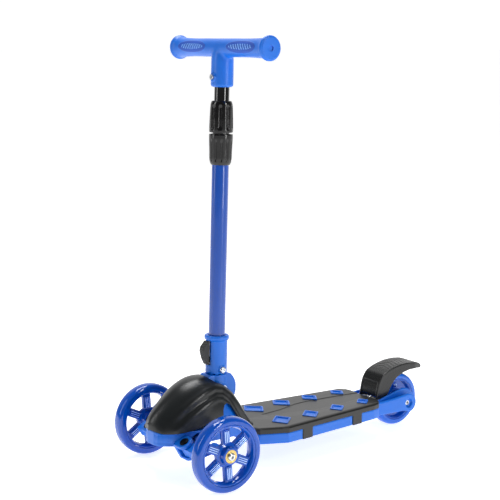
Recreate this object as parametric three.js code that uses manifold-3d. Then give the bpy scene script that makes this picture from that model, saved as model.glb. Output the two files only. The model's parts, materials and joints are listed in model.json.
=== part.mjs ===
// A child's three-wheel kick scooter: a lean-to-steer deck, a folding stem and a telescopic handlebar.
// Millimetres. X is across the scooter, with +X on the rider's left. Y runs to the rear. Z is up from the
// ground. Inside this file Y is counted from the front axle, and the last lines move the whole scooter so
// that its origin is under the middle of its length.
import * as THREE from 'three';
import { mergeVertices } from 'three/addons/utils/BufferGeometryUtils.js';
import Module from 'manifold-3d';

const wasm = await Module();
wasm.setup();

// ---------------------------------------------------------------- driving dimensions
const GAP = 0.3; // clearance between pieces that touch or run on each other
const SLIVER = 0.02; // the finest edge kept on a finished piece

const WHEELBASE = 465;
const FRONT_TRACK = 241.6; // between the middles of the two front wheels

const FRONT_WHEEL_RADIUS = 62.5;
const FRONT_TYRE_WIDTH = 23.4;
const FRONT_TYRE_DEPTH = 12; // from the tread down to the rim
const REAR_WHEEL_RADIUS = 49.5;
const REAR_TYRE_WIDTH = 25;
const REAR_TYRE_DEPTH = 11;
const BEARING_RADIUS = 11;
const BEARING_WIDTH = 7;
const AXLE_RADIUS = 4;

const STEM_LEAN = 1.72; // degrees, towards the rider
const FOLD_PIVOT_Y = 62.2;
const FOLD_PIVOT_Z = 135;
const BAR_ALONG_STEM = 567.5; // from the fold pivot to the handlebar's axis
const LOWER_TUBE_RADIUS = 14;
const UPPER_TUBE_RADIUS = LOWER_TUBE_RADIUS - 1.5;
const TUBE_WALL = 1.2;
const LOCK_FOOT = BAR_ALONG_STEM - 190.5; // lower end of the height lock, from the fold pivot
const COLLAR_LENGTH = 51;
const LOCK_NUT_LENGTH = 52;
const LOCK_RADIUS = 19.75;
const UPPER_TUBE_OVERLAP = 205; // of the upper tube inside the lower one

const BAR_LENGTH = 264;
const GRIP_RADIUS = 15.2;
const FLANGE_RADIUS = 20.2;
const FLANGE_WIDTH = 5.5;
const BAR_SOCKET_RADIUS = 18.5;
const BAR_SOCKET_LENGTH = 63.5; // below the handlebar's axis
const CORE_TUBE_RADIUS = 8;

const SOCKET_WALL = 4.1;
const SOCKET_FOOT = 26; // along the stem from the fold pivot
const SOCKET_TOP = 92;
const SOCKET_BEAD_HEIGHT = 8.4;
const SOCKET_BOLT_ALONG_STEM = 34.6;
const SOCKET_PETALS = 12;

const DRUM_RADIUS = 33;
const DRUM_HALF_WIDTH = 13.5;
const CHEEK_INNER_X = LOWER_TUBE_RADIUS + 5.2;
const CHEEK_THICKNESS = 3;
const FOLD_PIN_RADIUS = 4;
const PLUNGER_OFFSET = 8.6; // ahead of the stem's axis
const PLUNGER_RADIUS = 2.6;

const COWL_WALL = 2.6;
const NOSE_Y = -71;

const DECK_FRONT = 100;
const DECK_TOP = 69;
const PAD_THICKNESS = 4.2;
const PAD_SKIRT_FOOT = 58;
const PAD_SKIRT_WALL = 3;
const DECK_FOOT = 40;
const DECK_WALL = 4;
const DECK_HALF_WIDTH = 80;
const DECK_REAR_HALF_WIDTH = 62;
const TAB_WIDTH = 23;
const RIB_PITCH = 47; // between the cross ribs under the deck

const FORK_OUTER_X = 45;
const FORK_INNER_X = 25;
const FORK_FOOT = 38;
const FORK_TOP = 62;

const KINGPIN_X = 56;
const KINGPIN_Y = -30;
const KINGPIN_Z = 60;
const KINGPIN_TILT = 30; // degrees, with the upper end forward
const KINGPIN_RADIUS = 4;
const KNUCKLE_HALF_HEIGHT = 8.7;
const EAR_THICKNESS = 6;
const TIE_ROD_LEVER = 26;

const GUARD_PIVOT_Y = WHEELBASE - 58;
const GUARD_PIVOT_Z = 60;
const GUARD_HALF_WIDTH = 24.5;
const GUARD_WALL = 3.5;
const BRAKE_GAP = 4.8; // from the brake shoe down to the tyre

// ---------------------------------------------------------------- worked-out values
const DECK_REAR = WHEELBASE - 73;
const GUARD_END_Y = WHEELBASE + 52;
const ORIGIN_Y = (GUARD_END_Y + NOSE_Y) / 2;
const BAR_SOCKET_FOOT = BAR_ALONG_STEM - BAR_SOCKET_LENGTH;
const COLLAR_TOP = LOCK_FOOT + COLLAR_LENGTH;
const NUT_FOOT = COLLAR_TOP + 2;
const NUT_TOP = NUT_FOOT + LOCK_NUT_LENGTH;
const LOWER_TUBE_TOP = COLLAR_TOP - 4;
const LOWER_BORE = LOWER_TUBE_RADIUS - TUBE_WALL;
const SOCKET_BORE = LOWER_TUBE_RADIUS + GAP;
const SOCKET_RADIUS = SOCKET_BORE + SOCKET_WALL;
const TENON_RADIUS = LOWER_BORE - 0.4;
const TENON_TOP = SOCKET_TOP - 4;
const UPPER_TUBE_FOOT = LOWER_TUBE_TOP - UPPER_TUBE_OVERLAP;
const UPPER_TUBE_TOP = BAR_ALONG_STEM - CORE_TUBE_RADIUS - 2 * GAP;
const CHEEK_OUTER_X = CHEEK_INNER_X + CHEEK_THICKNESS;
const SLOT_HALF_WIDTH = CHEEK_OUTER_X + 2.3;
const SADDLE_RADIUS = DRUM_RADIUS + 2 * GAP;
const EAR_TOP = KNUCKLE_HALF_HEIGHT + GAP + EAR_THICKNESS;

// ---------------------------------------------------------------- geometry helpers
const X = new THREE.Vector3(1, 0, 0);
const Y = new THREE.Vector3(0, 1, 0);
const Z = new THREE.Vector3(0, 0, 1);

const radians = (degrees) => THREE.MathUtils.degToRad(degrees);

// A closed geometry as a solid, with its faces turned outwards.
function solid(geometry) {
  const bare = new THREE.BufferGeometry();
  bare.setAttribute('position', geometry.getAttribute('position'));
  bare.setIndex(geometry.getIndex());
  const merged = mergeVertices(bare, 1e-3);
  const index = merged.getIndex().array;
  const triangles = [];
  for (let i = 0; i < index.length; i += 3) {
    const [a, b, c] = [index[i], index[i + 1], index[i + 2]];
    if (a !== b && b !== c && c !== a) triangles.push(a, b, c);
  }
  const vertProperties = new Float32Array(merged.getAttribute('position').array);
  const build = (order) =>
    new wasm.Manifold(new wasm.Mesh({ numProp: 3, vertProperties, triVerts: new Uint32Array(order) }));
  const first = build(triangles);
  if (first.volume() > 0) return first;
  for (let i = 0; i < triangles.length; i += 3) {
    [triangles[i + 1], triangles[i + 2]] = [triangles[i + 2], triangles[i + 1]];
  }
  return build(triangles);
}

const join = (first, ...others) => others.reduce((whole, piece) => whole.add(piece), first);
const cut = (first, ...others) => others.reduce((whole, piece) => whole.subtract(piece), first);

function box(x0, x1, y0, y1, z0, z1) {
  const geometry = new THREE.BoxGeometry(x1 - x0, y1 - y0, z1 - z0);
  return solid(geometry.translate((x0 + x1) / 2, (y0 + y1) / 2, (z0 + z1) / 2));
}

// Cylinders along each axis, from one end to the other.
function rodZ(radius, z0, z1, x = 0, y = 0, segments = 20) {
  const geometry = new THREE.CylinderGeometry(radius, radius, z1 - z0, segments);
  return solid(geometry.rotateX(Math.PI / 2).translate(x, y, (z0 + z1) / 2));
}

function rodX(radius, x0, x1, y = 0, z = 0, segments = 20) {
  const geometry = new THREE.CylinderGeometry(radius, radius, x1 - x0, segments);
  return solid(geometry.rotateZ(Math.PI / 2).translate((x0 + x1) / 2, y, z));
}

function rodY(radius, y0, y1, x = 0, z = 0, segments = 16) {
  const geometry = new THREE.CylinderGeometry(radius, radius, y1 - y0, segments);
  return solid(geometry.translate(x, (y0 + y1) / 2, z));
}

// Solids of revolution. A profile is a list of [radius, place along the axis].
function turned(profile, segments) {
  const points = profile.map(([radius, along]) => new THREE.Vector2(radius, along));
  return new THREE.LatheGeometry(points, segments);
}

const turnedZ = (profile, segments = 24) => solid(turned(profile, segments).rotateX(Math.PI / 2));

function turnedX(profile, segments, x = 0, y = 0, z = 0) {
  return solid(turned(profile, segments).rotateZ(-Math.PI / 2).translate(x, y, z));
}

// Prisms of a flat outline: [x, y] points run up Z, and [y, z] points run along X.
const outline = (points) => new THREE.Shape(points.map(([u, v]) => new THREE.Vector2(u, v)));
const flat = { bevelEnabled: false, curveSegments: 8 };

function prismZ(points, z0, z1) {
  const geometry = new THREE.ExtrudeGeometry(outline(points), { ...flat, depth: z1 - z0 });
  return solid(geometry.translate(0, 0, z0));
}

function prismX(points, x0, x1) {
  const geometry = new THREE.ExtrudeGeometry(outline(points), { ...flat, depth: x1 - x0 });
  const turn = new THREE.Matrix4().makeBasis(Y, Z, X);
  return solid(geometry.applyMatrix4(turn).translate(x0, 0, 0));
}

const mirrored = (half) => [...half, ...half.map(([x, y]) => [-x, y]).reverse()];
const circle = (radius, y, z, count, from = 0, sweep = 360) =>
  Array.from({ length: count }, (_, i) => {
    const angle = radians(from + (sweep * i) / (sweep === 360 ? count : count - 1));
    return [y + radius * Math.cos(angle), z + radius * Math.sin(angle)];
  });

// A coil spring along an axis: a round wire swept along a helix.
function coil(start, axis, side, radius, length, turns, wire) {
  const across = new THREE.Vector3().crossVectors(axis, side);
  const steps = turns * 6;
  const points = Array.from({ length: steps + 1 }, (_, i) => {
    const angle = (i / 6) * 2 * Math.PI;
    return new THREE.Vector3()
      .copy(start)
      .addScaledVector(axis, (length * i) / steps)
      .addScaledVector(side, radius * Math.cos(angle))
      .addScaledVector(across, radius * Math.sin(angle));
  });
  const path = new THREE.CatmullRomCurve3(points);
  const section = outline(circle(wire, 0, 0, 4));
  return solid(new THREE.ExtrudeGeometry(section, { steps, extrudePath: path, bevelEnabled: false }));
}

// ---------------------------------------------------------------- materials and nodes
const finishes = {
  bluePlastic: { color: 0x3f86e0, roughness: 0.45, metalness: 0 },
  darkBluePlastic: { color: 0x123c9c, roughness: 0.4, metalness: 0 },
  blueTyre: { color: 0x0f37a8, roughness: 0.12, metalness: 0 },
  bluePaint: { color: 0x0f2f9a, roughness: 0.2, metalness: 0.2 },
  blackPlastic: { color: 0x1c2024, roughness: 0.4, metalness: 0 },
  blackPaint: { color: 0x0b0c0e, roughness: 0.12, metalness: 0.2 },
  greyRubber: { color: 0x565654, roughness: 0.7, metalness: 0 },
  steel: { color: 0xc8cacc, roughness: 0.25, metalness: 1 },
  brass: { color: 0xc9a24a, roughness: 0.3, metalness: 1 },
};

// A finished solid as a named mesh with a material of its own. Slivers finer than SLIVER are merged away.
function node(name, made, finish) {
  const { vertProperties, triVerts } = made.simplify(SLIVER).getMesh();
  const indexed = new THREE.BufferGeometry();
  indexed.setAttribute('position', new THREE.BufferAttribute(new Float32Array(vertProperties), 3));
  indexed.setIndex(new THREE.BufferAttribute(new Uint32Array(triVerts), 1));
  const geometry = indexed.toNonIndexed();
  geometry.computeVertexNormals();
  const mesh = new THREE.Mesh(geometry, new THREE.MeshStandardMaterial(finishes[finish]));
  mesh.name = name;
  return mesh;
}

// ---------------------------------------------------------------- handlebar, in the stem's frame
// The stem's frame has its origin on the fold pivot and Z along the stem.
function handlebar() {
  const half = BAR_LENGTH / 2;
  const rim = half - FLANGE_WIDTH;
  const side = [
    [0, half], [FLANGE_RADIUS - 1.5, half], [FLANGE_RADIUS, half - 1.5], [FLANGE_RADIUS, rim],
    [FLANGE_RADIUS - 2.7, rim - 3], [GRIP_RADIUS + 0.9, rim - 12], [GRIP_RADIUS, rim - 30],
    [GRIP_RADIUS - 0.4, rim - 80],
  ];
  const profile = [...side, ...side.map(([r, x]) => [r, -x]).reverse()];
  const bar = turnedX(profile, 24, 0, 0, BAR_ALONG_STEM);
  const socket = turnedZ([
    [0, BAR_SOCKET_FOOT], [BAR_SOCKET_RADIUS - 2, BAR_SOCKET_FOOT], [BAR_SOCKET_RADIUS, BAR_SOCKET_FOOT + 2.5],
    [BAR_SOCKET_RADIUS, BAR_ALONG_STEM - 20], [BAR_SOCKET_RADIUS - 2, BAR_ALONG_STEM - 5],
    [GRIP_RADIUS - 3, BAR_ALONG_STEM + 10], [0, BAR_ALONG_STEM + 10],
  ]);
  const screwAt = BAR_SOCKET_FOOT + 16;
  const boss = rodY(6, -BAR_SOCKET_RADIUS - 1, -UPPER_TUBE_RADIUS - 1, 0, screwAt);
  const moulding = cut(
    join(bar, socket, boss),
    rodZ(UPPER_TUBE_RADIUS + GAP, BAR_SOCKET_FOOT - 1, UPPER_TUBE_TOP + 3 * GAP),
    rodX(CORE_TUBE_RADIUS + GAP, -half - 1, half + 1, 0, BAR_ALONG_STEM),
    rodX(11.5 + GAP, half - 4.6, half + 1, 0, BAR_ALONG_STEM),
    rodX(11.5 + GAP, -half - 1, -half + 4.6, 0, BAR_ALONG_STEM),
    rodY(2.4 + GAP, -BAR_SOCKET_RADIUS - 2, 0, 0, screwAt, 12),
  );
  const coreEnd = half - 8;
  const core = cut(
    rodX(CORE_TUBE_RADIUS, -coreEnd, coreEnd, 0, BAR_ALONG_STEM),
    rodX(CORE_TUBE_RADIUS - 1.6, -coreEnd - 1, coreEnd + 1, 0, BAR_ALONG_STEM),
  );
  const plug = (sign) => {
    const face = half - 0.5;
    const shaped = turnedX([
      [4.3, half - 20], [6, half - 20], [6, half - 4.2], [11.5, half - 4.2], [11.5, face - 0.8],
      [10.7, face], [4.3, face], [4.3, half - 20],
    ].map(([r, x]) => [r, x * sign]), 20, 0, 0, BAR_ALONG_STEM);
    return shaped;
  };
  const screwHead = -BAR_SOCKET_RADIUS - 1 - GAP;
  const screw = cut(
    join(
      rodY(4.4, screwHead - 2.4, screwHead, 0, screwAt),
      rodY(2.4, screwHead - 1, -4, 0, screwAt, 12),
    ),
    rodY(1.8, screwHead - 3, screwHead - 1, 0, screwAt, 6),
  );
  const tubeBore = UPPER_TUBE_RADIUS - TUBE_WALL;
  const insert = cut(
    rodZ(tubeBore - GAP, BAR_SOCKET_FOOT - 8, UPPER_TUBE_TOP - 6),
    rodY(2.4 + GAP, -tubeBore - 1, -3, 0, screwAt, 12),
  );
  const tube = cut(
    rodZ(UPPER_TUBE_RADIUS, UPPER_TUBE_FOOT, UPPER_TUBE_TOP, 0, 0, 24),
    rodZ(tubeBore, UPPER_TUBE_FOOT - 1, UPPER_TUBE_TOP + 1, 0, 0, 24),
    rodY(2.4 + GAP, -UPPER_TUBE_RADIUS - 1, 0, 0, screwAt, 12),
  );
  const foot = turnedZ([
    [5, UPPER_TUBE_FOOT - 6], [UPPER_TUBE_RADIUS, UPPER_TUBE_FOOT - 6],
    [UPPER_TUBE_RADIUS, UPPER_TUBE_FOOT - GAP], [tubeBore - GAP, UPPER_TUBE_FOOT - GAP],
    [tubeBore - GAP, UPPER_TUBE_FOOT + 18], [5, UPPER_TUBE_FOOT + 18], [5, UPPER_TUBE_FOOT - 6],
  ]);
  return [
    node('handlebar_moulding', moulding, 'bluePlastic'),
    node('handlebar_core_tube', core, 'steel'),
    node('bar_end_plug_left', plug(1), 'darkBluePlastic'),
    node('bar_end_plug_right', plug(-1), 'darkBluePlastic'),
    node('handlebar_screw', screw, 'steel'),
    node('handlebar_insert', insert, 'blackPlastic'),
    node('upper_tube', tube, 'blackPaint'),
    node('upper_tube_foot', foot, 'blackPlastic'),
  ];
}

// ---------------------------------------------------------------- height lock, in the stem's frame
// Grooves cut along a round grip, evenly spaced around it.
function flutes(made, count, radius, cutterRadius, z0, z1) {
  const cutters = Array.from({ length: count }, (_, i) => {
    const angle = (2 * Math.PI * i) / count;
    return rodZ(cutterRadius, z0, z1, radius * Math.cos(angle), radius * Math.sin(angle), 6);
  });
  return cut(made, ...cutters);
}

function heightLock() {
  const neck = LOWER_TUBE_RADIUS + 2.2;
  const neckTop = NUT_FOOT + 16;
  const sleeveBore = UPPER_TUBE_RADIUS + GAP;
  const sleeveRadius = LOWER_TUBE_RADIUS - GAP;
  const collar = flutes(turnedZ([
    [SOCKET_BORE, LOCK_FOOT], [neck, LOCK_FOOT], [LOCK_RADIUS - 1.2, LOCK_FOOT + 7],
    [LOCK_RADIUS - 0.8, LOCK_FOOT + 25], [LOCK_RADIUS, COLLAR_TOP - 8], [LOCK_RADIUS, COLLAR_TOP],
    [neck, COLLAR_TOP], [neck, neckTop], [LOWER_TUBE_RADIUS, neckTop],
    [LOWER_TUBE_RADIUS, LOWER_TUBE_TOP + GAP], [SOCKET_BORE, LOWER_TUBE_TOP + GAP], [SOCKET_BORE, LOCK_FOOT],
  ]), 12, LOCK_RADIUS + 1.2, 2.2, LOCK_FOOT + 8, COLLAR_TOP - 9);
  const nut = flutes(turnedZ([
    [neck + GAP, NUT_FOOT], [LOCK_RADIUS, NUT_FOOT], [LOCK_RADIUS, NUT_FOOT + 6],
    [LOCK_RADIUS - 2.2, NUT_TOP - 12], [LOCK_RADIUS - 2.6, NUT_TOP - 3], [LOCK_RADIUS - 4.2, NUT_TOP],
    [UPPER_TUBE_RADIUS + 2 * GAP, NUT_TOP], [UPPER_TUBE_RADIUS + 2 * GAP, neckTop + 7],
    [neck + GAP, neckTop + 1], [neck + GAP, NUT_FOOT],
  ]), 10, LOCK_RADIUS + 1, 3, NUT_FOOT + 7, NUT_TOP - 8);
  const collet = cut(
    turnedZ([
      [sleeveBore, LOWER_TUBE_TOP + 2 * GAP], [sleeveRadius, LOWER_TUBE_TOP + 2 * GAP],
      [sleeveRadius, neckTop + 3], [sleeveBore + 0.4, neckTop + 4.5], [sleeveBore, neckTop + 4.5],
      [sleeveBore, LOWER_TUBE_TOP + 2 * GAP],
    ]),
    box(-1, 1, 0, LOCK_RADIUS, LOWER_TUBE_TOP - 1, neckTop + 6),
  );
  return [
    node('lower_collar', collar, 'blackPlastic'),
    node('lock_nut', nut, 'blackPlastic'),
    node('lock_collet', collet, 'blackPlastic'),
  ];
}

// ---------------------------------------------------------------- stem foot, in the stem's frame
function stemFoot() {
  const beadFoot = SOCKET_TOP - SOCKET_BEAD_HEIGHT;
  const windowFoot = 46;
  const windowTop = 56;
  const buttonFoot = 42.5;
  const buttonTop = beadFoot - 1;
  const opening = box(-5.6, 5.6, -SOCKET_RADIUS - 1, 0, windowFoot, windowTop);
  const boltAt = SOCKET_BOLT_ALONG_STEM;
  const boltBore = rodX(3 + GAP, -SOCKET_RADIUS - 5, SOCKET_RADIUS + 5, 0, boltAt, 12);

  const tube = cut(
    rodZ(LOWER_TUBE_RADIUS, SOCKET_FOOT + 1, LOWER_TUBE_TOP, 0, 0, 24),
    rodZ(LOWER_BORE, 0, LOWER_TUBE_TOP + 1, 0, 0, 24),
    opening,
    boltBore,
  );

  const petals = Array.from({ length: SOCKET_PETALS }, (_, i) => {
    const notch = new THREE.CylinderGeometry(2.6, 2.6, SOCKET_RADIUS + 4, 6);
    notch.translate(0, (SOCKET_RADIUS + 4) / 2, 0).rotateZ((2 * Math.PI * (i + 0.5)) / SOCKET_PETALS);
    return solid(notch.translate(0, 0, SOCKET_FOOT - 0.4));
  });
  const socket = cut(
    join(
      turnedZ([
        [SOCKET_BORE, SOCKET_FOOT], [SOCKET_RADIUS - 0.5, SOCKET_FOOT], [SOCKET_RADIUS, SOCKET_FOOT + 4],
        [SOCKET_RADIUS, beadFoot - 0.6], [SOCKET_RADIUS + 2.5, beadFoot + 1.8], [SOCKET_RADIUS + 2.5, SOCKET_TOP - 2],
        [SOCKET_RADIUS + 1, SOCKET_TOP], [SOCKET_BORE + 1, SOCKET_TOP], [SOCKET_BORE, SOCKET_TOP - 2],
        [SOCKET_BORE, SOCKET_FOOT],
      ]),
      cut(
        join(
          rodX(7, SOCKET_RADIUS - 4, SOCKET_RADIUS + 1, 0, boltAt, 20),
          rodX(7, -SOCKET_RADIUS - 1, -SOCKET_RADIUS + 4, 0, boltAt, 20),
        ),
        rodZ(SOCKET_BORE + 0.5, boltAt - 10, boltAt + 10, 0, 0, 24),
      ),
    ),
    box(-6.5 - GAP, 6.5 + GAP, -SOCKET_RADIUS - 1, -10, buttonFoot - GAP, buttonTop + GAP),
    boltBore,
    ...petals,
  );

  const boltHead = SOCKET_RADIUS + 1 + GAP;
  const bolt = cut(
    join(
      rodX(5.6, boltHead, boltHead + 3, 0, boltAt, 20),
      rodX(3, -boltHead - 3.5, boltHead + 1, 0, boltAt, 12),
    ),
    rodX(2.4, boltHead + 1, boltHead + 4, 0, boltAt, 6),
  );
  const nut = cut(
    rodX(5.4, -boltHead - 3, -boltHead, 0, boltAt, 6),
    rodX(3 + GAP, -boltHead - 4, 0, 0, boltAt, 12),
  );

  // The knuckle is a drum on the fold pin, with a tenon that fills the foot of the lower tube.
  const shoulder = SOCKET_FOOT - GAP;
  const knuckle = cut(
    join(
      cut(
        join(
          rodX(DRUM_RADIUS, -DRUM_HALF_WIDTH, DRUM_HALF_WIDTH, 0, 0, 40),
          rodX(DRUM_RADIUS, -SOCKET_RADIUS, SOCKET_RADIUS, 0, 0, 40).intersect(
            rodZ(SOCKET_RADIUS - 0.6, -22, DRUM_RADIUS, 0, 0, 24),
          ),
          rodX(10, -SOCKET_RADIUS, SOCKET_RADIUS),
        ),
        box(-DRUM_RADIUS, DRUM_RADIUS, -DRUM_RADIUS, DRUM_RADIUS, shoulder, DRUM_RADIUS + 1),
      ),
      rodZ(TENON_RADIUS, 0, TENON_TOP, 0, 0, 24),
    ),
    rodX(FOLD_PIN_RADIUS + GAP, -DRUM_RADIUS, DRUM_RADIUS),
    rodZ(PLUNGER_RADIUS + GAP, -DRUM_RADIUS - 1, 60, 0, -PLUNGER_OFFSET, 16),
    box(-5.9, 5.9, -TENON_RADIUS - 1, -3, windowFoot - 2, TENON_TOP - 4),
    boltBore,
  );

  // Pressing the button slides two prongs under the plunger's sloped head and lifts it.
  const buttonProfile = [
    [-SOCKET_RADIUS - GAP, buttonFoot], [-SOCKET_RADIUS - 3, buttonFoot], [-26.5, 52], [-30.5, 66],
    [-29.5, 72.5], [-SOCKET_RADIUS - 3, buttonTop], [-SOCKET_RADIUS - GAP, buttonTop],
  ];
  const prong = [[-24, 47.5], [-24, 54.5], [-13.5, 54.5], [-8, 49], [-8, 47.5]];
  const button = join(
    prismX(buttonProfile, -6.5, 6.5),
    prismX(prong, 3.1, 5),
    prismX(prong, -5, -3.1),
  );
  const headProfile = [[-11.4, 52.9], [-6, 47.5], [-5, 47.5], [-5, 60], [-11.4, 60]];
  const plunger = join(
    prismX(headProfile, -5, 5),
    rodZ(PLUNGER_RADIUS, -DRUM_RADIUS + 1.8, 50, 0, -PLUNGER_OFFSET, 16),
  );
  const springStart = new THREE.Vector3(0, -PLUNGER_OFFSET, 60 + GAP + 0.6);
  const spring = coil(springStart, Z, X, 2.4, 21.5, 6, 0.5);
  return [
    node('lower_tube', tube, 'bluePaint'),
    node('fold_socket', socket, 'bluePlastic'),
    node('socket_bolt', bolt, 'steel'),
    node('socket_nut', nut, 'steel'),
    node('fold_knuckle', knuckle, 'bluePlastic'),
    node('fold_button', button, 'blackPlastic'),
    node('latch_plunger', plunger, 'steel'),
    node('latch_spring', spring, 'steel'),
  ];
}

// ---------------------------------------------------------------- fold bracket and its pin
function foldBracket() {
  const plateFoot = 63.8;
  const plateTop = plateFoot + 3;
  const [py, pz] = [FOLD_PIVOT_Y, FOLD_PIVOT_Z];
  const cheekSide = [[py - 25, plateFoot], [py + 26, plateFoot], [py + 9, pz], [py - 9, pz]];
  const cheek = (x0, x1) => join(prismX(cheekSide, x0, x1), rodX(9, x0, x1, py, pz, 20));
  const saddle = cut(
    box(-15, 15, py - 22, py + 22, plateFoot, pz - 24),
    rodX(SADDLE_RADIUS, -16, 16, py, pz, 40),
    rodZ(PLUNGER_RADIUS + 0.8, pz - DRUM_RADIUS - 12, pz, 0, py - PLUNGER_OFFSET, 12),
  );
  const bracket = cut(
    join(
      box(-CHEEK_OUTER_X, CHEEK_OUTER_X, py - 25, py + 26, plateFoot, plateTop),
      cheek(CHEEK_INNER_X, CHEEK_OUTER_X),
      cheek(-CHEEK_OUTER_X, -CHEEK_INNER_X),
      saddle,
    ),
    rodX(FOLD_PIN_RADIUS + GAP, -40, 40, py, pz),
    ...baseBoltPlaces().map((y) => rodZ(2.5 + GAP, plateFoot - 1, plateFoot + 12, 0, y, 12)),
  );
  const outer = CHEEK_OUTER_X + GAP;
  const pin = join(
    rodX(FOLD_PIN_RADIUS, -outer - 1.6, outer + 1, py, pz),
    rodX(6, outer, outer + 1.8, py, pz),
  );
  const clip = cut(
    rodX(6.5, -outer - 1.2, -outer, py, pz),
    rodX(FOLD_PIN_RADIUS + GAP, -outer - 2, 0, py, pz),
  );
  return [
    node('fold_bracket', bracket, 'steel'),
    node('fold_pin', pin, 'steel'),
    node('fold_pin_clip', clip, 'steel'),
  ];
}

// The two bolts that hold the deck, the front base and the fold bracket together.
const baseBoltPlaces = () => [FOLD_PIVOT_Y - 13, FOLD_PIVOT_Y + 13];

// ---------------------------------------------------------------- front cowl
// Stations along the cowl: half-width, place along Y and height of the crown.
const cowlStations = new THREE.CatmullRomCurve3([
  [3, NOSE_Y, 97], [20, NOSE_Y + 5, 112], [31, NOSE_Y + 15, 126], [42, NOSE_Y + 33, 142],
  [49, NOSE_Y + 56, 154], [52, NOSE_Y + 83, 162], [51.5, NOSE_Y + 109, 161], [49.5, NOSE_Y + 131, 152],
  [45.5, NOSE_Y + 153, 133], [41, NOSE_Y + 171, 106], [36, NOSE_Y + 186, 80], [32, NOSE_Y + 197, 61],
].map(([w, y, z]) => new THREE.Vector3(w, y, z)));

const COWL_SQUARENESS = 2.3; // 2 is an ellipse, and more is boxier
const COWL_BRIM = 80;

// The height where the cowl is widest: level along the front, and falling to the deck behind.
const cowlBrim = (y) => COWL_BRIM - 26 * THREE.MathUtils.clamp((y - 60) / 66, 0, 1);

// The cowl's outer form as a solid, drawn in by an inset and with its underside lowered by a drop.
function cowlForm(inset, drop, stations = 12, around = 10) {
  const positions = [];
  const middle = (NOSE_Y + 126) / 2;
  const reach = 126 - middle;
  for (let j = 0; j <= stations; j += 1) {
    const at = cowlStations.getPoint(j / stations);
    const y = middle + ((at.y - middle) * (reach - inset)) / reach;
    const width = Math.max(at.x - inset, 1);
    const brim = cowlBrim(at.y) - drop;
    const rise = at.z - inset - brim;
    for (let i = 0; i <= around; i += 1) {
      const angle = (Math.PI * i) / around;
      const power = 2 / COWL_SQUARENESS;
      const across = Math.sign(Math.cos(angle)) * Math.abs(Math.cos(angle)) ** power;
      positions.push(width * across, y, brim + rise * Math.max(Math.sin(angle), 0) ** power);
    }
  }
  const row = around + 1;
  const index = [];
  for (let j = 0; j < stations; j += 1) {
    for (let i = 0; i < row; i += 1) {
      const [a, b] = [j * row + i, j * row + ((i + 1) % row)];
      index.push(a, b, b + row, a, b + row, a + row);
    }
  }
  for (let i = 1; i < around; i += 1) {
    index.push(0, i + 1, i);
    const last = stations * row;
    index.push(last, last + i, last + i + 1);
  }
  const geometry = new THREE.BufferGeometry();
  geometry.setAttribute('position', new THREE.Float32BufferAttribute(positions, 3));
  geometry.setIndex(index);
  return solid(geometry);
}

// The cowl's lower edge, seen from the side, from the nose to the tail.
const cowlRim = [
  [NOSE_Y - 10, 87], [NOSE_Y, 86], [-60, 82.5], [-44, 82.5], [-28, 84], [-12, 86.5], [4, 91], [16, 96],
  [30, 100], [44, 101], [44.8, 112], [48.5, 118], [54.5, 120], [60, 116.5], [74.5, 95], [92, 66], [96, 61],
  [140, 61],
];

// Everything below the cowl's lower edge, from a gap under it.
const underCowl = (gap) =>
  prismX([...cowlRim.map(([y, z]) => [y, z - gap]), [140, 20], [NOSE_Y - 10, 20]], -70, 70);

// The room that the cowl's tail takes out of the deck and its pad.
const cowlSeat = () => cut(cowlForm(-0.8, 2, 18, 14), underCowl(0.7));

// The posts inside the cowl that its two screws come up into.
const cowlPosts = [
  { y: -42, foot: 64.2, top: 132 },
  { y: 112, foot: 60.6, top: 76 },
];

function frontCowl() {
  const slotFront = FOLD_PIVOT_Y - 28;
  const slotRear = FOLD_PIVOT_Y + 38;
  const slot = prismZ(mirrored([
    [SLOT_HALF_WIDTH, slotRear], [SLOT_HALF_WIDTH, slotFront + 14], [SLOT_HALF_WIDTH - 5, slotFront + 5],
    [10, slotFront],
  ]), 100, 180);
  const shell = cut(cowlForm(0, 0, 18, 14), cowlForm(COWL_WALL, 12), underCowl(0), slot);
  const posts = cowlPosts.map(({ y, foot, top }) => rodZ(4.5, foot, top, 0, y, 12));
  const holes = cowlPosts.map(({ y, foot }) => rodZ(1.8 + GAP, foot - 1, foot + 10, 0, y, 10));
  return [node('front_cowl', cut(join(shell, ...posts), ...holes), 'blackPlastic')];
}

// ---------------------------------------------------------------- front base, kingpin frame and steering
// Half of the cowl's plan, drawn in by an inset, from the nose back to a given place.
function cowlPlan(inset, rear) {
  const points = [];
  for (let i = 0; i <= 14; i += 1) {
    const at = cowlStations.getPoint(i / 20);
    const y = Math.max(at.y, NOSE_Y + inset);
    if (y < rear) points.push([Math.max(at.x - inset, 2), y]);
  }
  points.push([points.at(-1)[0], rear]);
  return mirrored(points.reverse());
}

// The frame of a kingpin: its Z runs up the pin, and its X is the scooter's X.
function kingpinMatrix(sign) {
  const turn = new THREE.Matrix4().makeRotationX(radians(KINGPIN_TILT));
  return turn.setPosition(sign * KINGPIN_X, KINGPIN_Y, KINGPIN_Z);
}

// A solid moved by a matrix.
function moved(made, matrix) {
  const { vertProperties, triVerts } = made.getMesh();
  const geometry = new THREE.BufferGeometry();
  geometry.setAttribute('position', new THREE.BufferAttribute(new Float32Array(vertProperties), 3));
  geometry.setIndex(new THREE.BufferAttribute(new Uint32Array(triVerts), 1));
  return solid(geometry.applyMatrix4(matrix));
}

const ordered = (a, b) => [Math.min(a, b), Math.max(a, b)];

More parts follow.
